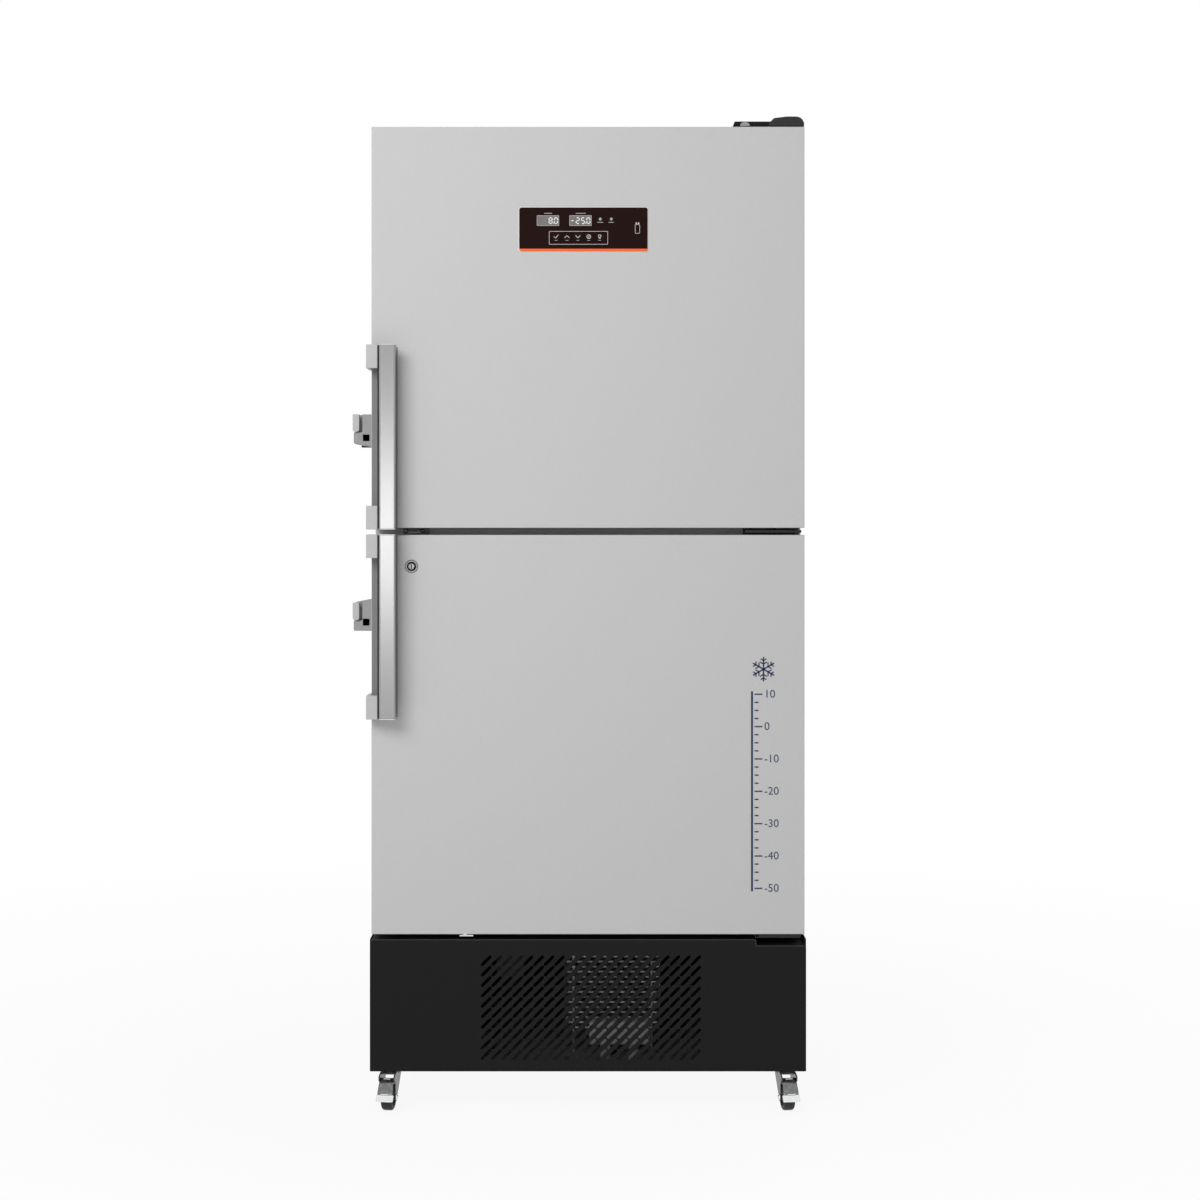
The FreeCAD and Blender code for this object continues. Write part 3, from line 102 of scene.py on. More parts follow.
looks = {
    "doorPaint": {"tones": (205, 193), "roughness": 0.42, "grainScale": 620.0, "bump": 0.2,
                  "depth": 0.00016, "driftScale": 480.0, "specular": 0.4},
    "casingPaint": {"tones": (203, 194), "roughness": 0.48, "grainScale": 600.0, "bump": 0.18,
                    "depth": 0.00015, "driftScale": 420.0, "specular": 0.4},
    "zincSheet": {"tones": ((158, 162, 166), (186, 189, 192)), "metal": 0.75, "roughness": 0.46,
                  "swing": 0.1, "spangle": True, "driftScale": 70.0, "grainScale": 260.0, "bump": 0.06},
    "innerFoam": {"tones": ((214, 196, 150), (203, 182, 132)), "roughness": 0.9, "grainScale": 420.0,
                  "bump": 0.6, "depth": 0.0008, "driftScale": 30.0},
    "linerPlastic": {"tones": ((226, 228, 229), (219, 222, 224)), "roughness": 0.36, "grainScale": 480.0,
                     "bump": 0.1, "driftScale": 4.0},
    "sealRubber": {"tones": ((196, 198, 199), (182, 184, 186)), "roughness": 0.62, "grainScale": 800.0,
                   "bump": 0.2, "driftScale": 12.0},
    "brushedBar": {"tones": (155, 150), "metal": 1.0, "roughness": 0.2, "swing": 0.02,
                   "stretch": (1.0, 1.0, 0.004), "grainScale": 1500.0, "bump": 0.003, "driftScale": 700.0},
    # The strike plate's grey, also painted on the door beside the handle bar as the bar's shadow
    "keeperGreyAndPaintedShade": {"tones": (134, 127), "roughness": 0.4, "specular": 0.3, "bump": 0.1, "driftScale": 60.0},
    "barEnd": {"tones": ((226, 227, 229), (214, 215, 218)), "metal": 1.0, "roughness": 0.3,
               "grainScale": 1200.0, "bump": 0.04, "driftScale": 200.0},
    # A near black painted as the shade beside the handle bar
    "paintedBarShade": {"tones": ((38, 38, 39), (30, 30, 31)), "roughness": 0.6, "specular": 0.25,
                   "grainScale": 700.0, "driftScale": 20.0},
    "clipPlastic": {"tones": (194, 184), "roughness": 0.4, "bump": 0.12, "driftScale": 25.0},
    "latchBody": {"tones": (158, 146), "roughness": 0.42, "metal": 0.25, "bump": 0.14, "driftScale": 30.0},
    "latchTab": {"tones": (192, 182), "roughness": 0.34, "grainScale": 1000.0, "bump": 0.1,
                 "driftScale": 40.0},
    "blackPlastic": {"tones": (29, 25), "roughness": 0.55, "specular": 0.1, "swing": 0.06,
                     "grainScale": 850.0, "bump": 0.25, "depth": 0.00012, "driftScale": 300.0},
    # A lighter grey painted as the highlight along the base cover's top edge
    "coverPaintedHighlight": {"tones": (62, 54), "roughness": 0.4, "specular": 0.3, "grainScale": 850.0, "bump": 0.1,
                  "driftScale": 80.0},
    "coverGloss": {"tones": ((36, 36, 37), (30, 30, 31)), "roughness": 0.3, "specular": 0.35,
                   "grainScale": 700.0, "bump": 0.08, "driftScale": 40.0},
    # A black painted as shade, inside the latch holes and behind the rear guard
    "paintedShadeBlack": {"tones": (16, 10), "roughness": 0.95, "specular": 0.0, "grainScale": 300.0, "bump": 0.5,
                   "depth": 0.0005, "driftScale": 120.0},
    "panelFilm": {"tones": ((33, 16, 13), (30, 14, 11)), "roughness": 0.26, "specular": 0.06,
                  "grainScale": 1400.0, "bump": 0.05, "driftScale": 12.0},
    "keyFilm": {"tones": ((35, 18, 15), (32, 16, 13)), "roughness": 0.36, "specular": 0.07,
                "grainScale": 1600.0, "bump": 0.12, "driftScale": 30.0},
    "panelStripe": {"tones": ((255, 107, 45), (244, 98, 38)), "roughness": 0.34, "grainScale": 1400.0,
                    "bump": 0.05, "driftScale": 30.0},
    "panelInk": {"tones": ((222, 220, 219), (212, 210, 209)), "roughness": 0.5, "grainScale": 1500.0,
                 "bump": 0.08, "driftScale": 60.0},
    "readoutFrame": {"tones": ((178, 176, 174), (166, 164, 162)), "roughness": 0.4, "grainScale": 1500.0,
                     "bump": 0.05, "driftScale": 60.0},
    "readoutGlass": {"tones": ((128, 124, 123), (118, 114, 113)), "roughness": 0.2, "specular": 0.2,
                     "grainScale": 1200.0, "bump": 0.02, "driftScale": 40.0},
    "readoutDigit": {"tones": ((245, 244, 242), (236, 235, 233)), "roughness": 0.4, "grainScale": 1200.0,
                     "bump": 0.02, "driftScale": 40.0},
    "chrome": {"tones": ((222, 223, 225), (210, 211, 214)), "metal": 1.0, "roughness": 0.12, "swing": 0.03,
               "bump": 0.02, "driftScale": 60.0},
    "steel": {"tones": ((176, 178, 181), (160, 162, 166)), "metal": 1.0, "roughness": 0.34, "swing": 0.08,
              "grainScale": 700.0, "bump": 0.08, "driftScale": 45.0},
    # Black used on the hinges and latch keepers, and painted on the lock as the shade in its gap, recess and
    # keyway
    "blackSteelAndPaintedShade": {"tones": ((30, 30, 31), (24, 24, 25)), "roughness": 0.45, "specular": 0.35,
                   "driftScale": 40.0},
    "plated": {"tones": ((150, 150, 151), (78, 78, 79)), "metal": 1.0, "roughness": 0.22, "swing": 0.08,
               "grainScale": 420.0, "bump": 0.12, "driftScale": 150.0},
    # Plated steel painted darker, as shade
    "platedPaintedShade": {"tones": ((96, 96, 98), (48, 48, 50)), "metal": 1.0, "roughness": 0.26, "swing": 0.08,
                   "grainScale": 420.0, "bump": 0.12, "driftScale": 120.0},
    # Plated steel painted bright, as highlights on the casters
    "platedPaintedHighlight": {"tones": ((238, 239, 240), (220, 221, 223)), "metal": 1.0, "roughness": 0.18,
                     "grainScale": 500.0, "bump": 0.06, "driftScale": 90.0},
    "wheelRubber": {"tones": ((52, 52, 53), (40, 40, 41)), "roughness": 0.55, "specular": 0.3,
                    "grainScale": 600.0, "bump": 0.3, "depth": 0.0002, "driftScale": 60.0},
    "wireCoat": {"tones": ((228, 230, 231), (216, 219, 221)), "roughness": 0.3, "coat": 0.3,
                 "grainScale": 500.0, "bump": 0.1, "driftScale": 50.0},
    "condenserTube": {"tones": (244, 214), "metal": 0.7, "roughness": 0.26, "swing": 0.1,
                      "grainScale": 500.0, "bump": 0.1, "driftScale": 90.0},
    "potBlack": {"tones": ((26, 26, 27), (18, 18, 19)), "roughness": 0.4, "specular": 0.4,
                 "grainScale": 350.0, "bump": 0.2, "depth": 0.0003, "driftScale": 25.0},
    "boxPlastic": {"tones": (196, 180), "roughness": 0.5, "grainScale": 700.0, "driftScale": 30.0},
    "boxDark": {"tones": ((58, 58, 59), (46, 46, 47)), "roughness": 0.5, "specular": 0.3,
                "grainScale": 700.0, "driftScale": 30.0},
    "fanPlastic": {"tones": ((34, 35, 36), (27, 28, 29)), "roughness": 0.42, "bump": 0.1,
                   "driftScale": 30.0},
    "doorInk": {"tones": ((44, 60, 90), (38, 54, 84)), "roughness": 0.45, "grainScale": 1300.0,
                "bump": 0.06, "driftScale": 40.0},
}
finishes = {name: makeFinish(name, look) for name, look in looks.items()}
print("finishes made:", len(finishes))


# Small tools that make meshes

def makeMesh(name, points, faces):
    mesh = bpy.data.meshes.new(name)
    mesh.from_pydata([tuple(point) for point in points], [], faces)
    return cleanMesh(mesh)


# Welds doubled points and turns every face outward
def cleanMesh(mesh):
    work = bmesh.new()
    work.from_mesh(mesh)
    bmesh.ops.remove_doubles(work, verts=work.verts, dist=0.000002)
    bmesh.ops.dissolve_degenerate(work, dist=0.000002, edges=work.edges)
    bmesh.ops.recalc_face_normals(work, faces=work.faces)
    work.to_mesh(mesh)
    work.free()
    mesh.update()
    return mesh


def joinMeshes(name, meshes):
    work = bmesh.new()
    for mesh in meshes:
        work.from_mesh(mesh)
    joined = bpy.data.meshes.new(name)
    work.to_mesh(joined)
    work.free()
    return joined


# A flat outline pushed along one axis from one place to another
def prismMesh(name, outline, axis, start, end):
    def place(a, b, c):
        return {"x": (c, a, b), "y": (a, c, b), "z": (a, b, c)}[axis]
    count = len(outline)
    points = [place(p[0], p[1], start) for p in outline] + [place(p[0], p[1], end) for p in outline]
    sides = [[i, (i + 1) % count, (i + 1) % count + count, i + count] for i in range(count)]
    return makeMesh(name, points, [list(range(count))[::-1], list(range(count, 2 * count))] + sides)


def boxMesh(name, low, high):
    outline = [(low[0], low[1]), (high[0], low[1]), (high[0], high[1]), (low[0], high[1])]
    return prismMesh(name, outline, "z", low[2], high[2])


# Corners are (a, b) or (a, b, radius); those with a radius become arcs
def roundCorners(corners, radius=0.0, steps=5):
    made = []
    for i, corner in enumerate(corners):
        here = Vector(corner[:2])
        bend = corner[2] if len(corner) > 2 else radius
        if bend <= 0:
            made.append(tuple(here))
            continue
        before = (Vector(corners[i - 1][:2]) - here).normalized()
        after = (Vector(corners[(i + 1) % len(corners)][:2]) - here).normalized()
        half = before.angle(after) / 2
        middle = here + (before + after).normalized() * (bend / math.sin(half))
        start = here + before * (bend / math.tan(half)) - middle
        end = here + after * (bend / math.tan(half)) - middle
        turn = start.angle(end)
        for k in range(steps + 1):
            share = k / steps
            arm = start * math.sin((1 - share) * turn) + end * math.sin(share * turn)
            made.append(tuple(middle + arm / math.sin(turn)))
    return made


def rectangle(a0, a1, b0, b1, radius=0.0, steps=5):
    return roundCorners([(a0, b0), (a1, b0), (a1, b1), (a0, b1)], radius, steps)


def circle(a, b, radius, steps=24):
    angles = [2 * math.pi * k / steps for k in range(steps)]
    return [(a + radius * math.cos(angle), b + radius * math.sin(angle)) for angle in angles]


# The outline of a box seen from the front, grown or shrunk all round
def faceOutline(low, high, corner=0.0, steps=5, grow=0.0):
    return rectangle(low.x - grow, high.x + grow, low.z - grow, high.z + grow, corner, steps)


# A slot with round ends between two points
def stadium(a0, b0, a1, b1, radius, steps=6):
    heading = math.atan2(b1 - b0, a1 - a0)
    made = []
    for a, b, turn in ((a1, b1, -math.pi / 2), (a0, b0, math.pi / 2)):
        for k in range(steps + 1):
            angle = heading + turn + math.pi * k / steps
            made.append((a + radius * math.cos(angle), b + radius * math.sin(angle)))
    return made


upright = Matrix.Rotation(math.pi / 2, 4, "X")  # stands a flat outline up, facing -Y


# Gives a curve its straight runs and turns it into a mesh
def curveMesh(curve, paths=(), closed=True):
    for path in paths:
        spline = curve.splines.new("POLY")
        spline.points.add(len(path) - 1)
        for point, place in zip(spline.points, path):
            point.co = (*place, 1.0)
        spline.use_cyclic_u = closed
    holder = bpy.data.objects.new(curve.name, curve)
    mesh = bpy.data.meshes.new_from_object(holder)
    bpy.data.objects.remove(holder)
    return mesh


# An upright plate cut from outlines in X and Z, holes included, with softened edges on both faces.
# front is the Y of its front face, which looks towards -Y.
def plateMesh(name, outlines, front, thickness, bevel=0.0, rounds=2):
    curve = bpy.data.curves.new(name, "CURVE")
    curve.dimensions = "2D"
    curve.fill_mode = "BOTH"
    curve.extrude = thickness / 2 - bevel
    curve.bevel_depth = bevel
    curve.bevel_resolution = rounds
    curve.offset = -bevel
    mesh = curveMesh(curve, [[(a, b, 0.0) for a, b in outline] for outline in outlines])
    mesh.transform(Matrix.Translation((0, front + thickness / 2, 0)) @ upright)
    return cleanMesh(mesh)


# A profile of (radius, height) pairs turned round an axis through centre
def latheMesh(name, profile, centre, axis=(0, 0, 1), steps=48):
    turn = Vector((0, 0, 1)).rotation_difference(Vector(axis)).to_matrix()
    count = len(profile)
    points = []
    faces = []
    for k in range(steps):
        angle = 2 * math.pi * k / steps
        for radius, height in profile:
            spot = turn @ Vector((radius * math.cos(angle), radius * math.sin(angle), height))
            points.append(Vector(centre) + spot)
        for i in range(count - 1):
            a = k * count + i
            b = (k + 1) % steps * count + i
            faces.append([a, b, b + 1, a + 1])
    return makeMesh(name, points, faces)


# Round rod or tube along each path
def tubeMesh(name, paths, radius, rounds=3):
    curve = bpy.data.curves.new(name, "CURVE")
    curve.dimensions = "3D"
    curve.bevel_depth = radius
    curve.bevel_resolution = rounds
    curve.use_fill_caps = True
    return curveMesh(curve, paths, closed=False)


# Four-sided faces over a grid of points
def gridFaces(rows, columns):
    return [[a * columns + b, a * columns + b + 1, (a + 1) * columns + b + 1, (a + 1) * columns + b]
            for a in range(rows - 1) for b in range(columns - 1)]


# Gives an open sheet its thickness, half to each side
def thickenSheet(piece, thickness):
    thick = piece.modifiers.new("thick", "SOLIDIFY")
    thick.thickness = thickness
    thick.offset = 0.0


def placeObject(name, data):
    piece = bpy.data.objects.new(name, data)
    bpy.context.scene.collection.objects.link(piece)
    return piece


# Cuts one closed mesh out of another
def carveMesh(mesh, tool):
    block = placeObject("carved", mesh)
    helper = placeObject("carver", tool)
    cut = block.modifiers.new("cut", "BOOLEAN")
    cut.operation = "DIFFERENCE"
    cut.solver = "EXACT"
    cut.object = helper
    graph = bpy.context.evaluated_depsgraph_get()
    carved = bpy.data.meshes.new_from_object(block.evaluated_get(graph))
    bpy.data.objects.remove(helper)
    bpy.data.objects.remove(block)
    return cleanMesh(carved)


def smoothMesh(mesh, sharpAngle):
    mesh.polygons.foreach_set("use_smooth", [True] * len(mesh.polygons))
    mesh.set_sharp_from_angle(angle=math.radians(sharpAngle))


def softenEdges(piece, width, segments, sharpAngle):
    soften = piece.modifiers.new("soften", "BEVEL")
    soften.width = width
    soften.segments = segments
    soften.limit_method = "ANGLE"
    soften.angle_limit = math.radians(sharpAngle)
    soften.harden_normals = True


def mountPiece(piece, body, replaces):
    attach(piece, body)
    for node in replaces:
        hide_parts(node)


# Puts a mesh, or a list of them as one, in the scene: its finish, its body and its edges softened by bevel
def addPiece(name, shape, finish, body, bevel=0.0, rounds=2, sharpAngle=38.0, replaces=()):
    mesh = joinMeshes(name, shape) if isinstance(shape, list) else shape
    piece = placeObject(name, mesh)
    mesh.materials.clear()
    mesh.materials.append(finishes[finish])
    smoothMesh(mesh, sharpAngle)
    if bevel > 0:
        softenEdges(piece, bevel, rounds, sharpAngle)
    even = piece.modifiers.new("even", "WEIGHTED_NORMAL")
    even.keep_sharp = True
    mountPiece(piece, body, replaces)
    return piece


# Gives a CAD shell its finish and, where asked, soft edges
def dressNode(node, finish, bevel=0.0):
    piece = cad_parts[node]
    piece.data.materials.clear()
    piece.data.materials.append(finishes[finish])
    if bevel > 0:
        weld = piece.modifiers.new("weld", "WELD")
        weld.merge_threshold = 0.00001
        softenEdges(piece, bevel, 2, 50)


# The main places, read from the frame
doorLow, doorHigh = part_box("upper_door_skin")
lowerDoorLow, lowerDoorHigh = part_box("lower_door_skin")
casingLow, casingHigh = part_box("outer_casing")
doorLeft = doorLow.x
doorRight = doorHigh.x
doorFront = doorLow.y

# CAD shells that keep their shape
plainNodes = {
    "outer_casing": "casingPaint", "back_panel": "zincSheet", "cabinet_insulation": "innerFoam",
    "upper_liner": "linerPlastic", "lower_liner": "linerPlastic", "centre_mullion": "casingPaint",
    "access_port": "linerPlastic", "base_frame": "zincSheet", "rear_guard": "zincSheet",
    "upper_door_foam": "innerFoam", "lower_door_foam": "innerFoam", "fan_shroud": "boxDark",
              "lock_bolt": "steel",
    "upper_door_gasket": "sealRubber", "lower_door_gasket": "sealRubber", "top_hinge": "steel",
}
for node, finish in plainNodes.items():
    dressNode(node, finish)
softenedNodes = {
    "upper_door_skin": ("doorPaint", 0.0011), "lower_door_skin": ("doorPaint", 0.0011),
    "upper_door_liner": ("linerPlastic", 0.003), "lower_door_liner": ("linerPlastic", 0.003),
    "evaporator_covers": ("linerPlastic", 0.0015), "latch_keepers": ("blackSteelAndPaintedShade", 0.0006),
    "lock_keeper": ("keeperGreyAndPaintedShade", 0.0004), "middle_hinge": ("blackSteelAndPaintedShade", 0.0006),
    "bottom_hinge": ("blackSteelAndPaintedShade", 0.0006),
}
for node, (finish, bevel) in softenedNodes.items():
    dressNode(node, finish, bevel)
print("CAD shells dressed")


# Screw head with a recess, used on the keeper, hinges, back and rear guard
def screwMesh(name, centre, axis, radius, height):
    profile = [(0.0, height * 0.55), (radius * 0.32, height * 0.55), (radius * 0.4, height),
               (radius * 0.6, height), (radius * 0.86, height * 0.75), (radius, height * 0.3),
               (radius, 0.0), (0.0, 0.0)]
    return latheMesh(name, profile, centre, axis, 20)


handle = {
    "cornerRadius": 0.0032,
    "endCap": 0.0016,
    "grooveWidth": 0.016,
    "grooveDepth": 0.006,
    "lip": 0.0035,
    "web": 0.007,
    "step": 0.005,
    "shadeStripDepth": 0.004,
    "clipCorner": 0.0022,
    "clipHeight": 0.044,
    "shadeBandInset": 0.0010,
    "shadeBandThick": 0.0012,
}


# Bar of brushed metal with a bright cap at each end, a dark strip painted as the shade beside it, two
# moulded clips and a grey band painted on the door behind it as the bar's shadow
def buildHandle(level):
    body = level + "_door"
    low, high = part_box(level + "_handle_bar")
    radius = handle["cornerRadius"]
    middle = (low.x + high.x) / 2
    grooveLeft = middle - handle["grooveWidth"] / 2
    grooveRight = middle + handle["grooveWidth"] / 2
    grooveFront = high.y - handle["grooveDepth"]
    outline = roundCorners([(low.x, low.y, radius), (high.x, low.y, radius), (high.x, high.y, 0.0012),
                            (grooveRight, high.y), (grooveRight, grooveFront, 0.001),
                            (grooveLeft, grooveFront, 0.001), (grooveLeft, high.y),
                            (low.x, high.y, 0.0012)])
    cap = handle["endCap"]
    bar = prismMesh(level + "HandleBar", outline, "z", low.z + cap, high.z - cap)
    addPiece(level + "HandleBar", bar, "brushedBar", body, bevel=0.0004,
             replaces=(level + "_handle_bar",))
    full = rectangle(low.x, high.x, low.y, high.y, radius)
    for place, z0, z1 in (("Top", high.z - cap, high.z), ("Bottom", low.z, low.z + cap)):
        capMesh = prismMesh(level + "BarCap" + place, full, "z", z0, z1)
        addPiece(level + "BarCap" + place, capMesh, "barEnd", body, bevel=0.0006, rounds=3)
    clipLow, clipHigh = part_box(level + "_handle_brackets")
    webBack = high.y + handle["web"]
    lipX = low.x - handle["lip"]
    corner = handle["clipCorner"]
    clip = roundCorners([(clipLow.x, clipHigh.y, 0.0015), (clipLow.x, clipLow.y, corner),
                         (lipX, clipLow.y, 0.001), (lipX, high.y), (clipHigh.x, high.y, 0.0008),
                         (clipHigh.x, webBack, 0.002), (doorLeft + handle["step"], webBack, 0.003),
                         (doorLeft, webBack + handle["step"], 0.003), (doorLeft, clipHigh.y, 0.0012)])
    height = handle["clipHeight"]
    clips = [prismMesh("clip", clip, "z", z, z + height) for z in (clipLow.z, clipHigh.z - height)]
    addPiece(level + "HandleClips", clips, "clipPlastic", body, bevel=0.0012, rounds=3,
             replaces=(level + "_handle_brackets",))
    # A dark strip along the bar's side, painted as the shade in the recess beside the bar
    barShadeOutline = [(lipX, high.y - handle["shadeStripDepth"]), (low.x + 0.001, high.y - handle["shadeStripDepth"]),
             (low.x + 0.001, high.y), (lipX, high.y)]
    barShade = prismMesh(level + "BarPaintedShade", barShadeOutline, "z", low.z + cap, high.z - cap)
    addPiece(level + "BarPaintedShade", barShade, "paintedBarShade", body, bevel=0.0003)
    # A grey band painted on the door's face beside the bar, as the bar's shadow there
    shadeBand = rectangle(doorLeft + handle["shadeBandInset"], high.x, low.z + cap, high.z - cap, 0.001)
    thick = handle["shadeBandThick"]
    shadeBandMesh = plateMesh(level + "HandlePaintedShade", [shadeBand], doorFront - thick, thick + 0.0004, 0.0004)
    addPiece(level + "HandlePaintedShade", shadeBandMesh, "keeperGreyAndPaintedShade", body)


for level in ("upper", "lower"):
    buildHandle(level)
print("handles built")


latch = {
    "fall": {"upper": 0.0052, "lower": 0.0070},
    "hole": 0.012,
    "holeInset": 0.005,
    "holeRise": 0.010,
    "pocketGap": 0.0005,
    "pocketRight": 0.0185,
    "pocketDepth": 0.024,
    "soft": 0.0009,
    "shadeLining": 0.0004,
    "tabRound": 0.0048,
    "pinRadius": 0.0024,
    "pinLength": 0.022,
    "pinSink": 0.003,
    "footCorner": 0.0025,
    "headCorner": 0.0022,
    "flapThick": 0.0008,
    "flapInset": 0.0030,
}


# Padlock latch: moulded body with a square hole and a pocket, a lining and flap in the hole painted black as
# the shade inside it, and the thumb tab on its pin
def buildLatch(level):
    body = level + "_door"
    low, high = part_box(level + "_latch_body")
    tabLow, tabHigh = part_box(level + "_latch_paddle")
    fall = latch["fall"][level]
    pocketX = high.x - latch["pocketRight"]
    pocketFloor = tabLow.z - latch["pocketGap"]
    holeRight = high.x - latch["holeInset"]
    holeLow = low.z + latch["holeRise"]
    hole = rectangle(holeRight - latch["hole"], holeRight, holeLow, holeLow + latch["hole"])
    footCorner = latch["footCorner"]
    headCorner = latch["headCorner"]
    if level == "upper":
        foot = [(low.x, low.z + fall, footCorner), (high.x, low.z)]
        crest = [(high.x, high.z), (low.x, high.z, headCorner)]
        brow = high.z
    else:
        foot = [(low.x, low.z, footCorner), (high.x, low.z)]
        crest = [(high.x, high.z), (low.x, high.z - fall, headCorner)]
        brow = high.z - fall * (high.x - pocketX) / (high.x - low.x)
    front = foot + [crest[0], (pocketX, brow, 0.0015), (pocketX, pocketFloor, 0.002),
                    (low.x, pocketFloor, 0.002)]
    depth = latch["pocketDepth"]
    soft = latch["soft"]
    face = plateMesh("face", [roundCorners(front), hole], low.y, depth + 2 * soft, soft, 3)
    rear = plateMesh("rear", [roundCorners(foot + crest), hole], low.y + depth, high.y - low.y - depth,
                     soft, 3)
    addPiece(level + "LatchBody", [face, rear], "latchBody", body,
             replaces=(level + "_latch_body",))
    # A lining and a flap in the square hole, painted black as the shade inside it
    lining = latch["shadeLining"]
    inner = rectangle(holeRight - latch["hole"] + lining, holeRight - lining, holeLow + lining,
                      holeLow + latch["hole"] - lining)
    shadeLining = plateMesh(level + "LatchShadeLining", [hole, inner], low.y + 0.0012, high.y - low.y - 0.002)
    addPiece(level + "LatchShadeLining", shadeLining, "paintedShadeBlack", body)
    shadeFlap = plateMesh(level + "LatchShadeFlap", [inner], high.y - latch["flapInset"], latch["flapThick"])
    addPiece(level + "LatchShadeFlap", shadeFlap, "paintedShadeBlack", body)
    pivotX = (tabLow.x + tabHigh.x) / 2
    eyeRadius = (tabHigh.x - tabLow.x) / 2
    pivotY = tabHigh.y - eyeRadius
    pinRadius = latch["pinRadius"]
    sink = latch["pinSink"]
    length = latch["pinLength"]
    pin = latheMesh("pin", [(0, -sink), (pinRadius, -sink), (pinRadius, length), (0, length)],
                    (pivotX, pivotY, pocketFloor))
    addPiece(level + "LatchPin", pin, "steel", body)
    bend = latch["tabRound"]
    outline = roundCorners([(tabLow.x, tabLow.z, bend), (tabHigh.x, tabLow.z, bend),
                            (tabHigh.x, tabHigh.z, 0.0014), (tabLow.x, tabHigh.z, 0.0014)])
    tab = plateMesh("tab", [outline], tabLow.y, pivotY - pinRadius - tabLow.y, 0.0012, 3)
    bore = pinRadius + 0.0002
    knuckle = [(bore, tabLow.z + 0.001), (eyeRadius - 0.0006, tabLow.z + 0.001),
               (eyeRadius, tabLow.z + 0.0016), (eyeRadius, tabHigh.z - 0.0010),
               (eyeRadius - 0.0006, tabHigh.z - 0.0004), (bore, tabHigh.z - 0.0004)]
    eye = latheMesh("eye", knuckle + knuckle[:1], (pivotX, pivotY, 0))
    addPiece(level + "LatchTab", [tab, eye], "latchTab", level + "_latch_paddle",
             replaces=(level + "_latch_paddle",))


for level in ("upper", "lower"):
    buildLatch(level)
print("latches built")


lock = {
    "centreDrop": 0.007,
    "shadowRing": 0.0123,
    "ringOuter": 0.0115,
    "ringInner": 0.0082,
    "ringHeight": 0.0030,
    "plugRadius": 0.0060,
    "keywayWidth": 0.0018,
    "keywayHeight": 0.0078,
    "keywayDepth": 0.0050,
}


# Cam lock: a thin black seat painted as the shadow gap round it, rounded chrome ring, a cup painted black as
# the shade of its recess, and the turning plug with its keyway, which holds a black slit painted as its
# shade
def buildLock():
    low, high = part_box("lock_cylinder")
    x = (low.x + high.x) / 2
    z = high.z - lock["centreDrop"]
    centre = (x, doorFront, z)
    toFront = (0, -1, 0)
    outer = lock["ringOuter"]
    inner = lock["ringInner"]
    height = lock["ringHeight"]
    # A thin black ring painted as the shadow gap round the lock
    shadowRing = [(inner, 0.0), (inner, 0.0007), (lock["shadowRing"] - 0.0003, 0.0007), (lock["shadowRing"], 0.0003),
            (lock["shadowRing"], 0.0), (inner, 0.0)]
    addPiece("lockShadowRing", latheMesh("lockShadowRing", shadowRing, centre, toFront, 64), "blackSteelAndPaintedShade", "lower_door")
    middle = (outer + inner) / 2
    half = (outer - inner) / 2
    steps = 10
    arch = []
    for k in range(steps + 1):
        angle = math.pi * k / steps
        arch.append((middle + half * math.cos(angle), 0.0010 + (height - 0.0010) * math.sin(angle)))
    ring = [(outer, 0.0003)] + arch + [(inner, -0.004), (inner + 0.0006, -0.004), (outer - 0.001, 0.0003),
                                       (outer, 0.0003)]
    addPiece("lockRing", latheMesh("lockRing", ring, centre, toFront, 64), "steel", "lower_door",
             replaces=("lock_barrel",))
    # A cup painted black as the shade inside the ring
    shadeCup = [(inner, 0.0006), (inner - 0.0004, 0.0006), (inner - 0.0004, -0.0080), (0.0, -0.0080),
           (0.0, -0.0180), (inner, -0.0180), (inner, 0.0006)]
    addPiece("lockShadeCup", latheMesh("lockShadeCup", shadeCup, centre, toFront, 48), "blackSteelAndPaintedShade", "lower_door")
    radius = lock["plugRadius"]
    front = doorFront - low.y
    plug = [(0.0, front - 0.0004), (radius * 0.72, front - 0.0004), (radius * 0.78, front),
            (radius - 0.0006, front), (radius, front - 0.0008), (radius, -0.0078), (0.0, -0.0078)]
    plugMesh = latheMesh("lockPlug", plug, centre, toFront, 48)
    wide = lock["keywayWidth"] / 2
    tall = lock["keywayHeight"] / 2
    keyway = boxMesh("keyway", (x - wide, low.y - 0.001, z - tall),
                     (x + wide, low.y + lock["keywayDepth"], z + tall))
    addPiece("lockPlug", carveMesh(plugMesh, keyway), "plated", "lock_cylinder",
             replaces=("lock_cylinder",))
    # A black slit painted as the shade inside the keyway
    slit = stadium(x, z - tall + wide, x, z + tall - wide, wide + 0.0001)
    keywayShade = plateMesh("lockKeywayShade", [slit], low.y + 0.0003, lock["keywayDepth"] - 0.0006)
    addPiece("lockKeywayShade", keywayShade, "blackSteelAndPaintedShade", "lock_cylinder")


buildLock()
print("lock built")


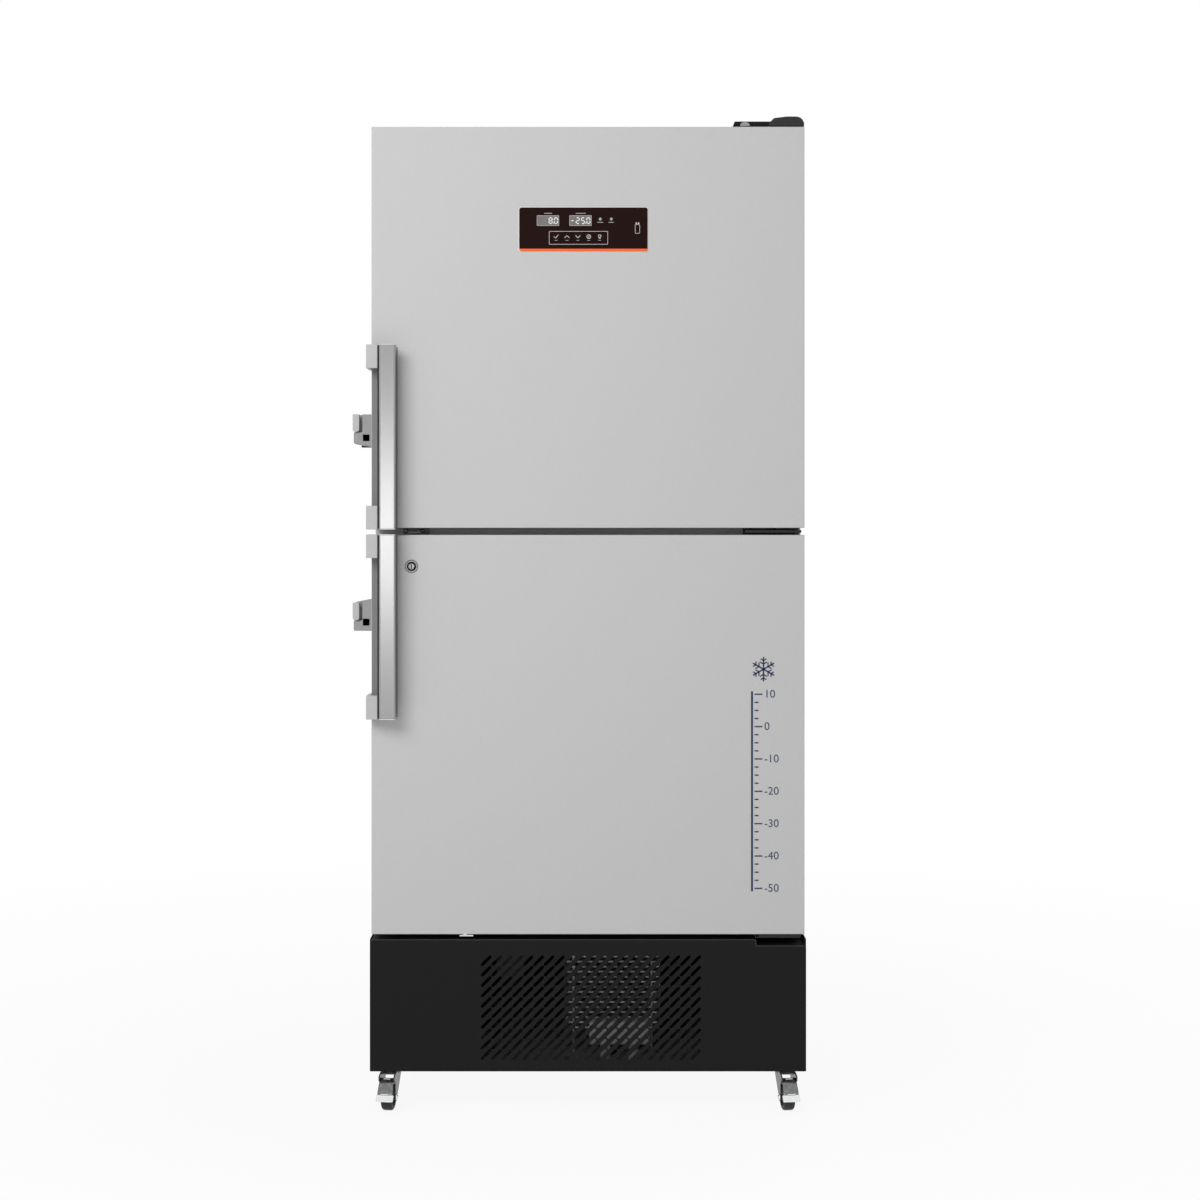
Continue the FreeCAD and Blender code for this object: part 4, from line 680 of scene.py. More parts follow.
panel = {
    "corner": 0.0042,
    "stripe": 0.0048,
    "trim": 0.0013,
    "line": 0.0007,
    "keyFrame": (0.0557, 0.1657, 0.0444, 0.0692),
    "dots": ((0.1513, 0.0217), (0.1719, 0.0217)),
    "dotRadius": 0.0026,
    "captions": ((0.0540, 0.0110, 0.0070), (0.1150, 0.0110, 0.0090), (0.1513, 0.0278, 0.0050),
                 (0.1719, 0.0278, 0.0045)),
    "captionLine": 0.0012,
    "battery": (0.2164, 0.2255, 0.0282, 0.0486),
    "batteryCap": 0.0036,
    "terminals": ((0.14, 0.4), (0.6, 0.86)),
    "digitHeight": 0.0124,
    "digitWidth": 0.0066,
    "digitPitch": 0.0100,
    "digitShrink": 0.87,
    "segment": 0.0019,
    "segmentGap": 0.25,
    "ink": 0.0002,
    "keyGap": 0.0003,
    "keyCorner": 0.0008,
    "trayInset": 0.004,
    "filmDepth": 0.0036,
    "windowWidth": 0.0415,
    "windowRim": 0.0011,
    "glassDrop": 0.0003,
    "glass": 0.0008,
    "readings": ("8.0", "-25.0"),
    "markRadius": 0.0040,
    "markLine": 0.0010,
    "markRise": 0.0008,
    "wordDrop": 0.0061,
    "wordHalf": 0.0022,
    "wordLine": 0.0009,
}
panelLow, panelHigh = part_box("display_panel")
panelFace = panelLow.y
keyNames = ("tick_key", "up_key", "down_key", "mute_key", "lamp_key")


# A point of the panel, measured from its top left corner
def onPanel(across, down):
    return panelLow.x + across, panelHigh.z - down


# Left, right, bottom and top of a mark that the panel's values give as two spans
def markSpan(name):
    across0, across1, down0, down1 = panel[name]
    left, top = onPanel(across0, down0)
    right, bottom = onPanel(across1, down1)
    return left, right, bottom, top


# Printed marks as thin plates on a face. A mark is one outline, or a list of an outline and its hole.
def addInk(name, marks, finish, body, face, height=panel["ink"]):
    plates = []
    for mark in marks:
        outlines = mark if isinstance(mark[0], list) else [mark]
        plates.append(plateMesh(name, outlines, face - height, height * 1.5))
    addPiece(name, plates, finish, body)


# A frame of even line width, as an outline and its hole
def frameMark(left, right, bottom, top, line, outerCorner, innerCorner):
    return [rectangle(left, right, bottom, top, outerCorner),
            rectangle(left + line, right - line, bottom + line, top - line, innerCorner)]


def ringMark(x, z, radius, line, steps):
    return [circle(x, z, radius, steps), circle(x, z, radius - line, steps)]


# A thin line between points, as one bar per run with round ends
def strokes(points, width):
    return [stadium(a[0], a[1], b[0], b[1], width / 2, 4) for a, b in zip(points, points[1:])]


# Dark film with its openings, the tray behind it, bright trim, the stripe and the printed marks
def buildPanel():
    stripe = panel["stripe"]
    corner = panel["corner"]
    outline = faceOutline(panelLow, panelHigh, corner)
    holes = []
    for key in keyNames:
        low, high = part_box(key)
        holes.append(faceOutline(low, high, panel["keyCorner"], 3, panel["keyGap"]))
    for low, high in windowBoxes():
        holes.append(faceOutline(low, high, 0.0006, 2))
    face = plateMesh("panelFace", [outline] + holes, panelFace, doorFront - panelFace, 0.0004)
    addPiece("panelFace", face, "panelFilm", "upper_door", replaces=("display_panel",))
    depth = panel["filmDepth"]
    tray = faceOutline(panelLow, panelHigh, 0.002, grow=-panel["trayInset"])
    trayMesh = plateMesh("panelTray", [tray], panelFace + depth, panelHigh.y - panelFace - depth, 0.0004)
    addPiece("panelTray", trayMesh, "blackPlastic", "upper_door")
    edge = panel["trim"]
    low = roundCorners([(panelLow.x, panelLow.z, corner), (panelHigh.x, panelLow.z, corner),
                        (panelHigh.x, panelLow.z + stripe), (panelLow.x, panelLow.z + stripe)])
    addInk("panelStripe", [low], "panelStripe", "upper_door", panelFace)
    around = faceOutline(panelLow, panelHigh, corner + edge, grow=edge)
    trim = plateMesh("panelTrim", [around, outline], doorFront - 0.0010, 0.0014, 0.0003)
    addPiece("panelTrim", trim, "readoutDigit", "upper_door")
    line = panel["line"]
    left, right, bottom, top = markSpan("keyFrame")
    keyFrame = frameMark(left, right, bottom, top, line, 0.0012, 0.0006)
    addInk("keyFrame", [keyFrame], "panelInk", "upper_door", panelFace)
    dots = [circle(*onPanel(*dot), panel["dotRadius"]) for dot in panel["dots"]]
    for across, down, reach in panel["captions"]:
        x, z = onPanel(across, down)
        dots += strokes([(x - reach, z), (x + reach, z)], panel["captionLine"])
    addInk("panelLamps", dots, "readoutFrame", "upper_door", panelFace)
    left, right, bottom, top = markSpan("battery")
    wide = right - left
    shell = top - panel["batteryCap"]
    battery = [frameMark(left, right, bottom, shell, line, 0.0016, 0.0010)]
    for start, end in panel["terminals"]:
        battery.append(rectangle(left + wide * start, left + wide * end, shell + 0.0008, top))
    addInk("batteryMark", battery, "panelInk", "upper_door", panelFace)


# The two read-out windows share one node, so its corners are split in half
def windowBoxes():
    low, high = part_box("display_windows")
    width = panel["windowWidth"]
    return ((Vector(low), Vector((low.x + width, high.y, high.z))),
            (Vector((high.x - width, low.y, low.z)), Vector(high)))


# Lit bars of each numeral, numbered top, upper left, upper right, middle, lower left, lower right, bottom
litBars = {"0": (0, 1, 2, 4, 5, 6), "2": (0, 2, 3, 4, 6), "5": (0, 1, 3, 5, 6), "8": (0, 1, 2, 3, 4, 5, 6),
           "-": (3,)}


# The lit bars as slim hexagons round a centre
def digitBars(numeral, x, z):
    wide = panel["digitWidth"] / 2
    tall = panel["digitHeight"] / 2
    bar = panel["segment"]
    gap = panel["segmentGap"]
    shrink = panel["digitShrink"]
    spots = {0: ((-wide, tall), (wide, tall)), 1: ((-wide, tall), (-wide, 0)),
             2: ((wide, tall), (wide, 0)), 3: ((-wide, 0), (wide, 0)), 4: ((-wide, 0), (-wide, -tall)),
             5: ((wide, 0), (wide, -tall)), 6: ((-wide, -tall), (wide, -tall))}
    made = []
    for number in litBars[numeral]:
        start = Vector(spots[number][0])
        end = Vector(spots[number][1])
        along = (end - start).normalized()
        across = Vector((-along.y, along.x)) * bar / 2
        start = start * shrink + along * bar * gap + Vector((x, z))
        end = end * shrink - along * bar * gap + Vector((x, z))
        tip = along * bar / 2
        made.append([tuple(p) for p in (start, start + tip + across, end - tip + across, end,
                                        end - tip - across, start + tip - across)])
    return made


# Two small windows with a pale frame, grey glass and plain numerals, filled from the right
def buildReadouts():
    pitch = panel["digitPitch"]
    rim = panel["windowRim"]
    for name, text, (low, high) in zip(("left", "right"), panel["readings"], windowBoxes()):
        outer = faceOutline(low, high, 0.0006, 2)
        inner = faceOutline(low, high, 0.0004, 2, -rim)
        frameMesh = plateMesh(name + "ReadoutFrame", [outer, inner], panelFace - 0.0002, 0.0014, 0.0002)
        replaces = ("display_windows",) if name == "left" else ()
        addPiece(name + "ReadoutFrame", frameMesh, "readoutFrame", "upper_door", replaces=replaces)
        pane = faceOutline(low, high, grow=-rim)
        glass = plateMesh(name + "ReadoutGlass", [pane], panelFace + panel["glassDrop"], panel["glass"])
        addPiece(name + "ReadoutGlass", glass, "readoutGlass", "upper_door")
        z = (low.z + high.z) / 2
        x = high.x - rim - 0.0015 - panel["digitWidth"] / 2
        outlines = []
        for numeral in reversed(text):
            if numeral == ".":
                outlines.append(circle(x + pitch / 2, z - panel["digitHeight"] / 2 + 0.0012, 0.0009, 10))
                continue
            outlines += digitBars(numeral, x, z)
            x -= pitch
        addInk(name + "ReadoutDigits", outlines, "readoutDigit", "upper_door",
               panelFace + panel["glassDrop"])


# The plain mark of each key, drawn in thin strokes
def keyMarks(key, x, z):
    r = panel["markRadius"]
    line = panel["markLine"]
    if key == "tick_key":
        return strokes([(x - r, z), (x - r * 0.25, z - r * 0.7), (x + r, z + r * 0.8)], line)
    if key == "up_key":
        return strokes([(x - r, z - r * 0.5), (x, z + r * 0.6), (x + r, z - r * 0.5)], line)
    if key == "down_key":
        return strokes([(x - r, z + r * 0.5), (x, z - r * 0.6), (x + r, z + r * 0.5)], line)
    if key == "mute_key":
        slash = strokes([(x - r * 0.7, z - r * 0.7), (x + r * 0.7, z + r * 0.7)], line)
        return [ringMark(x, z, r, line, 28)] + slash
    base = strokes([(x - r * 0.35, z - r * 0.75), (x + r * 0.35, z - r * 0.75)], line)
    return [ringMark(x, z + r * 0.25, r * 0.75, line, 24)] + base


def buildKeys():
    for key in keyNames:
        low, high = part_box(key)
        outline = faceOutline(low, high, panel["keyCorner"], 3)
        cap = plateMesh(key + "Cap", [outline], low.y, high.y - low.y, 0.0003)
        addPiece(key + "Cap", cap, "keyFilm", key, replaces=(key,))
        x = (low.x + high.x) / 2
        z = (low.z + high.z) / 2
        addInk(key + "Mark", keyMarks(key, x, z + panel["markRise"]), "panelInk", key, low.y)
        half = panel["wordHalf"]
        drop = panel["wordDrop"]
        word = strokes([(x - half, z - drop), (x + half, z - drop)], panel["wordLine"])
        addInk(key + "Line", word, "readoutFrame", key, low.y)


buildPanel()
buildReadouts()
buildKeys()
print("display panel built")


graphic = {
    "fromRight": 0.0768,
    "flakeTop": 0.8540,
    "flakeRadius": 0.0232,
    "branches": ((0.42, 0.3), (0.7, 0.24)),     # where on the arm and how long, as shares of the radius
    "branchLine": 0.8,
    "scaleTop": 0.7900,
    "scaleBottom": 0.4150,
    "ink": 0.00025,
    "line": 0.0028,
    "spine": (0.0235, 0.0195),
    "marks": 25,
    "markLeft": 0.0170,
    "markHalf": 0.0013,
    "longMark": 0.0150,
    "shortMark": 0.0080,
    "endGap": 0.006,
    "numbers": ("10", "0", "-10", "-20", "-30", "-40", "-50"),
    "numberLeft": 0.0012,
    "numberSize": 0.021,
}


def heading(angle):
    return Vector((math.cos(angle), math.sin(angle)))


# Plain frost mark and a graduated scale in blue on the lower door
def buildDoorGraphic():
    x = doorRight - graphic["fromRight"]
    radius = graphic["flakeRadius"]
    z = graphic["flakeTop"] - radius
    line = graphic["line"]
    arms = []
    for k in range(6):
        angle = math.pi / 2 + k * math.pi / 3
        direction = heading(angle)
        arms += strokes([(x, z), tuple(Vector((x, z)) + direction * (radius - line / 2))], line)
        for share, length in graphic["branches"]:
            root = Vector((x, z)) + direction * radius * share
            for side in (-1, 1):
                branch = heading(angle + side * math.pi / 3)
                arms += strokes([tuple(root), tuple(root + branch * radius * length)],
                                line * graphic["branchLine"])
    addInk("frostMark", arms, "doorInk", "lower_door", doorFront, graphic["ink"])
    top = graphic["scaleTop"]
    bottom = graphic["scaleBottom"]
    spineLeft, spineRight = graphic["spine"]
    marks = [rectangle(x - spineLeft, x - spineRight, bottom, top, 0.0019)]
    gap = graphic["endGap"]
    left = x - graphic["markLeft"]
    half = graphic["markHalf"]
    for i in range(graphic["marks"]):
        height = top - gap - (top - bottom - 2 * gap) * i / (graphic["marks"] - 1)
        reach = graphic["longMark"] if i % 4 == 0 else graphic["shortMark"]
        marks.append(rectangle(left, left + reach, height - half, height + half, 0.001, 2))
    addInk("scaleMarks", marks, "doorInk", "lower_door", doorFront, graphic["ink"])
    for i, number in enumerate(graphic["numbers"]):
        height = top - gap - (top - bottom - 2 * gap) * i / (len(graphic["numbers"]) - 1)
        addNumber("scaleNumber" + str(i), number, x + graphic["numberLeft"], height, graphic["numberSize"])


def addNumber(name, text, x, z, size):
    curve = bpy.data.curves.new(name, "FONT")
    curve.body = text
    curve.size = size
    curve.align_y = "CENTER"
    half = graphic["ink"] / 2
    curve.extrude = half
    mesh = curveMesh(curve)
    mesh.transform(Matrix.Translation((x, doorFront - half, z)) @ upright)
    addPiece(name, cleanMesh(mesh), "doorInk", "lower_door")


buildDoorGraphic()
print("door graphic built")


cover = {
    "wall": 0.003,
    "cornerCut": (0.0018, 0.0040),
    "shoulder": 0.008,
    "notchWidth": 0.0935,
    "notchDepth": 0.0115,
    "columns": 21,
    "rows": 10,
    "pitchX": 0.0196,
    "pitchZ": 0.0195,
    "run": 0.0142,
    "slotRadius": 0.0029,
    "fieldLeft": 0.2075,
    "fieldTop": 0.047,
    "edgeRound": 0.0006,
    "rim": 0.0012,
    "shadeSheetInset": 0.004,
    "shadeSheet": 0.003,
}


# Moulded cover with its field of slanted slots, shoulders at the sides and a ledge below the door
def buildBaseCover():
    low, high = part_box("base_cover")
    wall = cover["wall"]
    shoulder = cover["shoulder"]
    top = high.z - shoulder
    notchX = high.x - cover["notchWidth"]
    notchZ = top - cover["notchDepth"]
    cutX, cutZ = cover["cornerCut"]
    outline = roundCorners([(low.x, low.z, 0.002), (high.x, low.z, 0.002), (high.x, notchZ, 0.003),
                            (notchX + 0.001, notchZ, 0.004), (notchX, top, 0.003),
                            (low.x + cutX, top, 0.001), (low.x, top - cutZ, 0.001)])
    slots = []
    for column in range(cover["columns"]):
        for row in range(cover["rows"]):
            x = doorLeft + cover["fieldLeft"] + cover["pitchX"] * column
            z = top - cover["fieldTop"] - cover["pitchZ"] * row
            slots.append(stadium(x, z, x + cover["run"], z + cover["run"], cover["slotRadius"]))
    front = plateMesh("coverFront", [outline] + slots, low.y, wall, cover["edgeRound"], 2)
    addPiece("coverFront", front, "blackPlastic", "cabinet", replaces=("base_cover",))
    sides = []
    for outer, inner in ((low.x, low.x + wall), (high.x, high.x - wall)):
        side = roundCorners([(outer, low.z), (inner, low.z), (inner, high.z), (outer, high.z - shoulder)],
                            0.0012, 3)
        sides.append(prismMesh("side", side, "y", low.y + wall * 0.6, high.y))
    addPiece("coverSides", sides, "blackPlastic", "cabinet", bevel=0.0006)
    ledgeBack = casingLow.y - 0.0003
    ledgeFront = low.y + wall * 0.5
    ledges = [boxMesh("ledge", (low.x + wall, ledgeFront, top - wall), (notchX, ledgeBack, top)),
              boxMesh("ledge", (notchX, ledgeFront, notchZ - wall), (high.x - wall, ledgeBack, notchZ)),
              boxMesh("ledge", (notchX - wall, ledgeFront, notchZ - wall), (notchX, ledgeBack, top))]
    addPiece("coverLedge", ledges, "blackPlastic", "cabinet", bevel=0.0005)
    # A lighter strip along the top edge and the notch, painted as the highlight that edge catches
    rise = cover["rim"]
    edge = high.x - wall
    rim = roundCorners([(low.x + cutX, top - rise), (notchX - rise, top - rise, 0.003),
                        (notchX - rise, notchZ - rise, 0.004), (edge, notchZ - rise), (edge, notchZ),
                        (notchX, notchZ, 0.003), (notchX, top, 0.003), (low.x + cutX, top)])
    highlightStripMesh = plateMesh("coverHighlightStrip", [rim], low.y - 0.0004, wall)
    addPiece("coverHighlightStrip", highlightStripMesh, "coverPaintedHighlight", "cabinet")


# Sheet behind the rear guard, painted black as the shade of the machine bay, which also keeps stray light
# out of it
def buildRearShadeSheet():
    low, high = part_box("rear_guard")
    inset = cover["shadeSheetInset"]
    sheet = rectangle(casingLow.x + inset, casingHigh.x - inset, low.z + inset, high.z - inset, 0.004)
    shadeSheet = plateMesh("rearShadeSheet", [sheet], low.y - inset, cover["shadeSheet"], 0.0006)
    addPiece("rearShadeSheet", shadeSheet, "paintedShadeBlack", "cabinet")


buildBaseCover()
buildRearShadeSheet()
print("base cover built")


machine = {
    "tubeRadius": 0.003,
    "tubePitch": 0.0098,
    "tubeRows": 17,
    "bendSteps": 6,
    "tubeThin": 0.62,
    "wires": 24,
    "wireRadius": 0.0007,
    "wireInset": 0.006,
    "wireReach": 0.004,
    "plate": 0.003,
    "blades": 5,
    "bladeReach": 0.078,
    "bladeRoot": 0.019,
    "bladeEnd": 0.0205,
    "bladeTwist": 34.0,
    "bladeUntwist": 14.0,
    "bladeCamber": 0.0022,
    "bladeSweep": 0.006,
    "chord": 0.014,
    "chordSwell": 0.012,
    "bladeSheet": 0.0014,
    "shroudRim": 0.016,
    "potFoot": 0.018,
    "footInset": 0.012,
    "footShare": 0.72,
    "footSheet": 0.004,
}


# Serpentine tube with upright wires behind it and two carrying plates
def buildCondenser():
    low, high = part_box("condenser")
    r = machine["tubeRadius"]
    pitch = machine["tubePitch"]
    y = low.y + r
    bottom = high.z - pitch * machine["tubeRows"]
    left = low.x + pitch / 2 + r
    right = high.x - pitch / 2 - r
    path = [(left, y, bottom)]
    for row in range(machine["tubeRows"] - 1):
        side = 1 if row % 2 == 0 else -1
        x = right if side == 1 else left
        z = bottom + pitch * (row + 0.5)
        for k in range(machine["bendSteps"] + 1):
            angle = math.pi * k / machine["bendSteps"]
            path.append((x + side * pitch / 2 * math.sin(angle), y, z - pitch / 2 * math.cos(angle)))
    last = right if machine["tubeRows"] % 2 == 1 else left
    path.append((last, y, bottom + pitch * (machine["tubeRows"] - 1)))
    tube = tubeMesh("condenserTube", [path], r * machine["tubeThin"])
    addPiece("condenserTube", tube, "condenserTube", "cabinet", replaces=("condenser",))
    wires = []
    inset = machine["wireInset"]
    reach = machine["wireReach"]
    top = bottom + pitch * (machine["tubeRows"] - 1)
    for k in range(machine["wires"]):
        x = left + inset + (right - left - 2 * inset) * k / (machine["wires"] - 1)
        wires.append([(x, y + r, bottom - reach), (x, y + r, top + reach)])
    grid = tubeMesh("condenserWires", wires, machine["wireRadius"], rounds=1)
    addPiece("condenserWires", grid, "boxDark", "cabinet")
    plates = []
    half = machine["plate"] / 2
    for x in (left + pitch, right - pitch):
        plates.append(boxMesh("plate", (x - half, y + r, low.z), (x + half, high.y, high.z)))
    addPiece("condenserPlates", plates, "zincSheet", "cabinet", bevel=0.0004)


# Hub with twisted, cambered blades
def buildFan():
    low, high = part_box("fan_rotor")
    shroudLow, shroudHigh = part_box("fan_shroud")
    radius = machine["bladeReach"]
    x = (shroudLow.x + shroudHigh.x) / 2
    z = shroudHigh.z - radius - machine["shroudRim"]
    middle = (low.y + high.y) / 2
    hub = [(0.0, 0.011), (0.018, 0.0105), (0.0205, 0.009), (0.0215, 0.006), (0.0215, -0.0095),
           (0.0, -0.0095)]
    parts = [latheMesh("hub", hub, (x, middle, z), (0, -1, 0), 40)]
    rows = 9
    columns = 7
    faces = gridFaces(rows, columns)
    for i in range(machine["blades"]):
        points = []
        for a in range(rows):
            share = a / (rows - 1)
            reach = machine["bladeRoot"] + (radius - machine["bladeEnd"]) * share
            chord = machine["chord"] + machine["chordSwell"] * math.sin(share * math.pi * 0.62)
            pitch = math.radians(machine["bladeTwist"] - machine["bladeUntwist"] * share)
            for b in range(columns):
                across = (b / (columns - 1) * 2 - 1) * chord
                camber = machine["bladeCamber"] * (1 - (across / chord) ** 2)
                sweep = machine["bladeSweep"] * share * share
                deep = across * math.sin(pitch) * 0.72 - camber
                points.append(Vector((across * math.cos(pitch) + sweep, deep, reach)))
        blade = bpy.data.meshes.new("blade")
        blade.from_pydata(points, [], faces)
        turn = Matrix.Rotation(2 * math.pi * i / machine["blades"], 4, "Y")
        blade.transform(Matrix.Translation((x, middle, z)) @ turn)
        parts.append(blade)
    piece = addPiece("fanRotor", parts, "fanPlastic", "fan", replaces=("fan_rotor",))
    thickenSheet(piece, machine["bladeSheet"])


# Welded pot on a foot plate with four rubber mounts
def buildCompressor():
    low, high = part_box("compressor")
    x = (low.x + high.x) / 2
    y = (low.y + high.y) / 2
    radius = (high.y - low.y) / 2 * 0.98
    foot = low.z + machine["potFoot"]
    tall = high.z - foot
    profile = [(0.0, 0.0), (radius * 0.8, 0.0), (radius * 0.95, tall * 0.05), (radius, tall * 0.14),
               (radius, tall * 0.52), (radius * 1.02, tall * 0.53), (radius * 1.02, tall * 0.56),
               (radius, tall * 0.57), (radius * 0.98, tall * 0.7), (radius * 0.9, tall * 0.84),
               (radius * 0.72, tall * 0.94), (radius * 0.45, tall * 0.99), (0.0, tall)]
    pot = latheMesh("compressorPot", profile, (x, y, foot))
    addPiece("compressorPot", pot, "potBlack", "cabinet", replaces=("compressor",))
    half = (high.x - low.x) / 2
    deep = radius * machine["footShare"]
    sole = rectangle(x - half, x + half, y - deep, y + deep, 0.012)
    plate = prismMesh("foot", sole, "z", foot - machine["footSheet"], foot)
    waist = [(0, 0), (0.008, 0), (0.0085, 0.004), (0.0065, 0.007), (0.0085, 0.010), (0.008, 0.014),
             (0, 0.014)]
    inset = machine["footInset"]
    blocks = [latheMesh("block", waist, (cx, cy, low.z), (0, 0, 1), 20)
              for cx in (x - half + inset, x + half - inset) for cy in (y - deep + inset, y + deep - inset)]
    addPiece("compressorFoot", plate, "potBlack", "cabinet", bevel=0.0008)
    addPiece("compressorMounts", blocks, "wheelRubber", "cabinet")


supply = {
    "left": 0.407,
    "width": 0.116,
    "depth": 0.035,
    "rise": 0.025,
    "height": 0.043,
    "legs": (0.022, 0.076),
    "legWidth": 0.018,
    "legFront": 0.008,
    "legBack": 0.006,
    "ribInset": 0.012,
    "ribProud": 0.0012,
    "ribSheet": 0.002,
    "ribFromFloor": 0.008,
    "ribFromTop": 0.010,
}
control = {
    "left": 0.229,
    "width": 0.053,
    "height": 0.060,
    "drop": 0.039,
    "front": 0.010,
    "hanger": (0.010, 0.043),
    "hangerSheet": 0.003,
}


# Supply box stands on the floor of the bay, the control box hangs from its roof
def buildBoxes():
    low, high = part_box("electrical_boxes")
    x0 = doorLeft + supply["left"]
    x1 = x0 + supply["width"]
    y0 = low.y
    y1 = low.y + supply["depth"]
    z0 = low.z + supply["rise"]
    z1 = z0 + supply["height"]
    box = prismMesh("supplyBox", rectangle(x0, x1, z0, z1, 0.003), "y", y0, y1)
    addPiece("supplyBox", box, "boxPlastic", "cabinet", bevel=0.0015, rounds=3,
             replaces=("electrical_boxes",))
    legs = []
    for inset in supply["legs"]:
        left = x0 + inset
        legs.append(boxMesh("leg", (left, y0 + supply["legFront"], low.z),
                            (left + supply["legWidth"], y1 - supply["legBack"], z0)))
    addPiece("supplyLegs", legs, "zincSheet", "cabinet", bevel=0.0004)
    inset = supply["ribInset"]
    sheet = supply["ribSheet"]
    ribs = [boxMesh("rib", (x0 + inset, y0 - supply["ribProud"], z), (x1 - inset, y0 + sheet, z + sheet))
            for z in (z0 + supply["ribFromFloor"], z1 - supply["ribFromTop"])]
    addPiece("supplyRibs", ribs, "boxPlastic", "cabinet", bevel=0.0005)
    x0 = doorLeft + control["left"]
    z1 = high.z - control["drop"]
    outline = rectangle(x0, x0 + control["width"], z1 - control["height"], z1, 0.003)
    addPiece("controlBox", prismMesh("controlBox", outline, "y", low.y + control["front"], high.y),
             "boxDark", "cabinet", bevel=0.0015, rounds=3)
    left, right = control["hanger"]
    hanger = boxMesh("hanger", (x0 + left, high.y - control["hangerSheet"], z1 - 0.002),
                     (x0 + right, high.y, high.z))
    addPiece("controlHanger", hanger, "zincSheet", "cabinet", bevel=0.0004)


buildCondenser()
buildFan()
buildCompressor()
buildBoxes()
print("cooling machine built")


hingeCover = {
    "tail": 0.0095,
    "lean": 0.0037,
    "humpLength": 0.0630,
    "humpCorner": 0.015,
    "humpInset": 0.030,
    "crown": 0.030,
    "capRadius": 0.0093,
    "capFromLeft": 0.0229,
    "capFlat": 0.86,
    "capFront": 0.0035,
    "capBack": 0.002,
}


# Low tail and rounded hump over the top hinge, with a half round stop beside it
def buildHingeCover():
    low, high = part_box("hinge_cover")
    tailTop = low.z + hingeCover["tail"]
    tail = roundCorners([(low.x, low.z), (high.x, low.z), (high.x, tailTop, 0.003),
                         (low.x + hingeCover["lean"], tailTop, 0.0025)])
    tailMesh = prismMesh("coverTail", tail, "y", low.y, high.y)
    addPiece("hingeCoverTail", tailMesh, "blackPlastic", "cabinet", bevel=0.0016,
             rounds=3, replaces=("hinge_cover",))
    humpX = high.x - hingeCover["humpLength"]
    corner = hingeCover["humpCorner"]
    crownX = humpX + hingeCover["crown"]
    hump = roundCorners([(humpX - 0.004, low.z), (high.x, low.z), (high.x, high.z, corner),
                         (crownX, high.z, 0.030), (humpX + 0.0062, high.z - 0.0030, 0.006),
                         (humpX + 0.0005, tailTop + 0.0004, 0.0025), (humpX - 0.004, tailTop - 0.0004)])
    humpMesh = prismMesh("coverHump", hump, "y", low.y - 0.0004, high.y - hingeCover["humpInset"])
    addPiece("hingeCoverHump", humpMesh, "coverGloss", "cabinet", bevel=0.0022, rounds=4)
    x = low.x + hingeCover["capFromLeft"]
    radius = hingeCover["capRadius"]
    steps = 20
    arc = []
    for k in range(steps + 1):
        angle = math.pi * k / steps
        arc.append((x + radius * math.cos(angle), low.z + radius * math.sin(angle) * hingeCover["capFlat"]))
    cap = prismMesh("doorStop", arc, "y", low.y - hingeCover["capFront"], low.y + hingeCover["capBack"])
    addPiece("coverStop", cap, "latchBody", "cabinet", bevel=0.0012, rounds=3)


buildHingeCover()


screws = {
    "frontRadius": 0.0042,
    "frontHeight": 0.0022,
    "rearRadius": 0.004,
    "rearHeight": 0.0018,
    "plateSheet": 0.0015,
    "hingeSheet": 0.003,
    "keeper": (0.0052, 0.0139),
    "middleHinge": (0.0166, 0.0486, 0.0606),
    "bottomHinge": (0.014, 0.036),
    "bottomDrop": 0.034,
    "fromEdge": 0.012,
    "onPanel": (0.03, 0.27, 0.5, 0.73, 0.97),
    "onGuard": (0.08, 0.92),
}


# Screws of the strike plate, the middle and bottom hinges, the back panel and the rear guard
def buildScrews():
    keeperLow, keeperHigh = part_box("lock_keeper")
    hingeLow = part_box("middle_hinge")[0]
    bottomLow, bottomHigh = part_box("bottom_hinge")
    z = (doorLow.z + lowerDoorHigh.z) / 2 + 0.001
    keeperFace = casingLow.y - screws["plateSheet"]
    hingeFace = casingLow.y - screws["hingeSheet"]
    bottomZ = bottomHigh.z - screws["bottomDrop"]
    fromLeft, fromRight = screws["keeper"]
    heads = [(keeperLow.x + fromLeft, keeperFace, z), (keeperHigh.x - fromRight, keeperFace, z)]
    heads += [(hingeLow.x + across, hingeFace, z) for across in screws["middleHinge"]]
    heads += [(bottomLow.x + across, hingeFace, bottomZ) for across in screws["bottomHinge"]]
    front = [screwMesh("screw", head, (0, -1, 0), screws["frontRadius"], screws["frontHeight"])
             for head in heads]
    # The front screws are painted darker, as the shade in the door gap and the hinge notch
    addPiece("frontScrews", front, "platedPaintedShade", "cabinet")
    guardLow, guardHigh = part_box("rear_guard")
    panelBack = casingHigh.y + screws["plateSheet"]
    heads = []
    for x in (casingLow.x + screws["fromEdge"], casingHigh.x - screws["fromEdge"]):
        for share in screws["onPanel"]:
            heads.append((x, panelBack, guardHigh.z + (casingHigh.z - guardHigh.z) * share))
        for share in screws["onGuard"]:
            heads.append((x, panelBack, guardLow.z + (guardHigh.z - guardLow.z) * share))
    rear = [screwMesh("screw", head, (0, 1, 0), screws["rearRadius"], screws["rearHeight"])
            for head in heads]
    addPiece("rearScrews", rear, "steel", "cabinet")


buildScrews()


doorFoot = {
    "left": 0.1643,
    "right": 0.1901,
    "stemLeft": 0.1712,
    "stemRight": 0.1780,
    "back": 0.006,
    "depth": 0.012,
    "stemDepth": 0.006,
    "drop": 0.0053,
    "sheet": 0.0036,
}


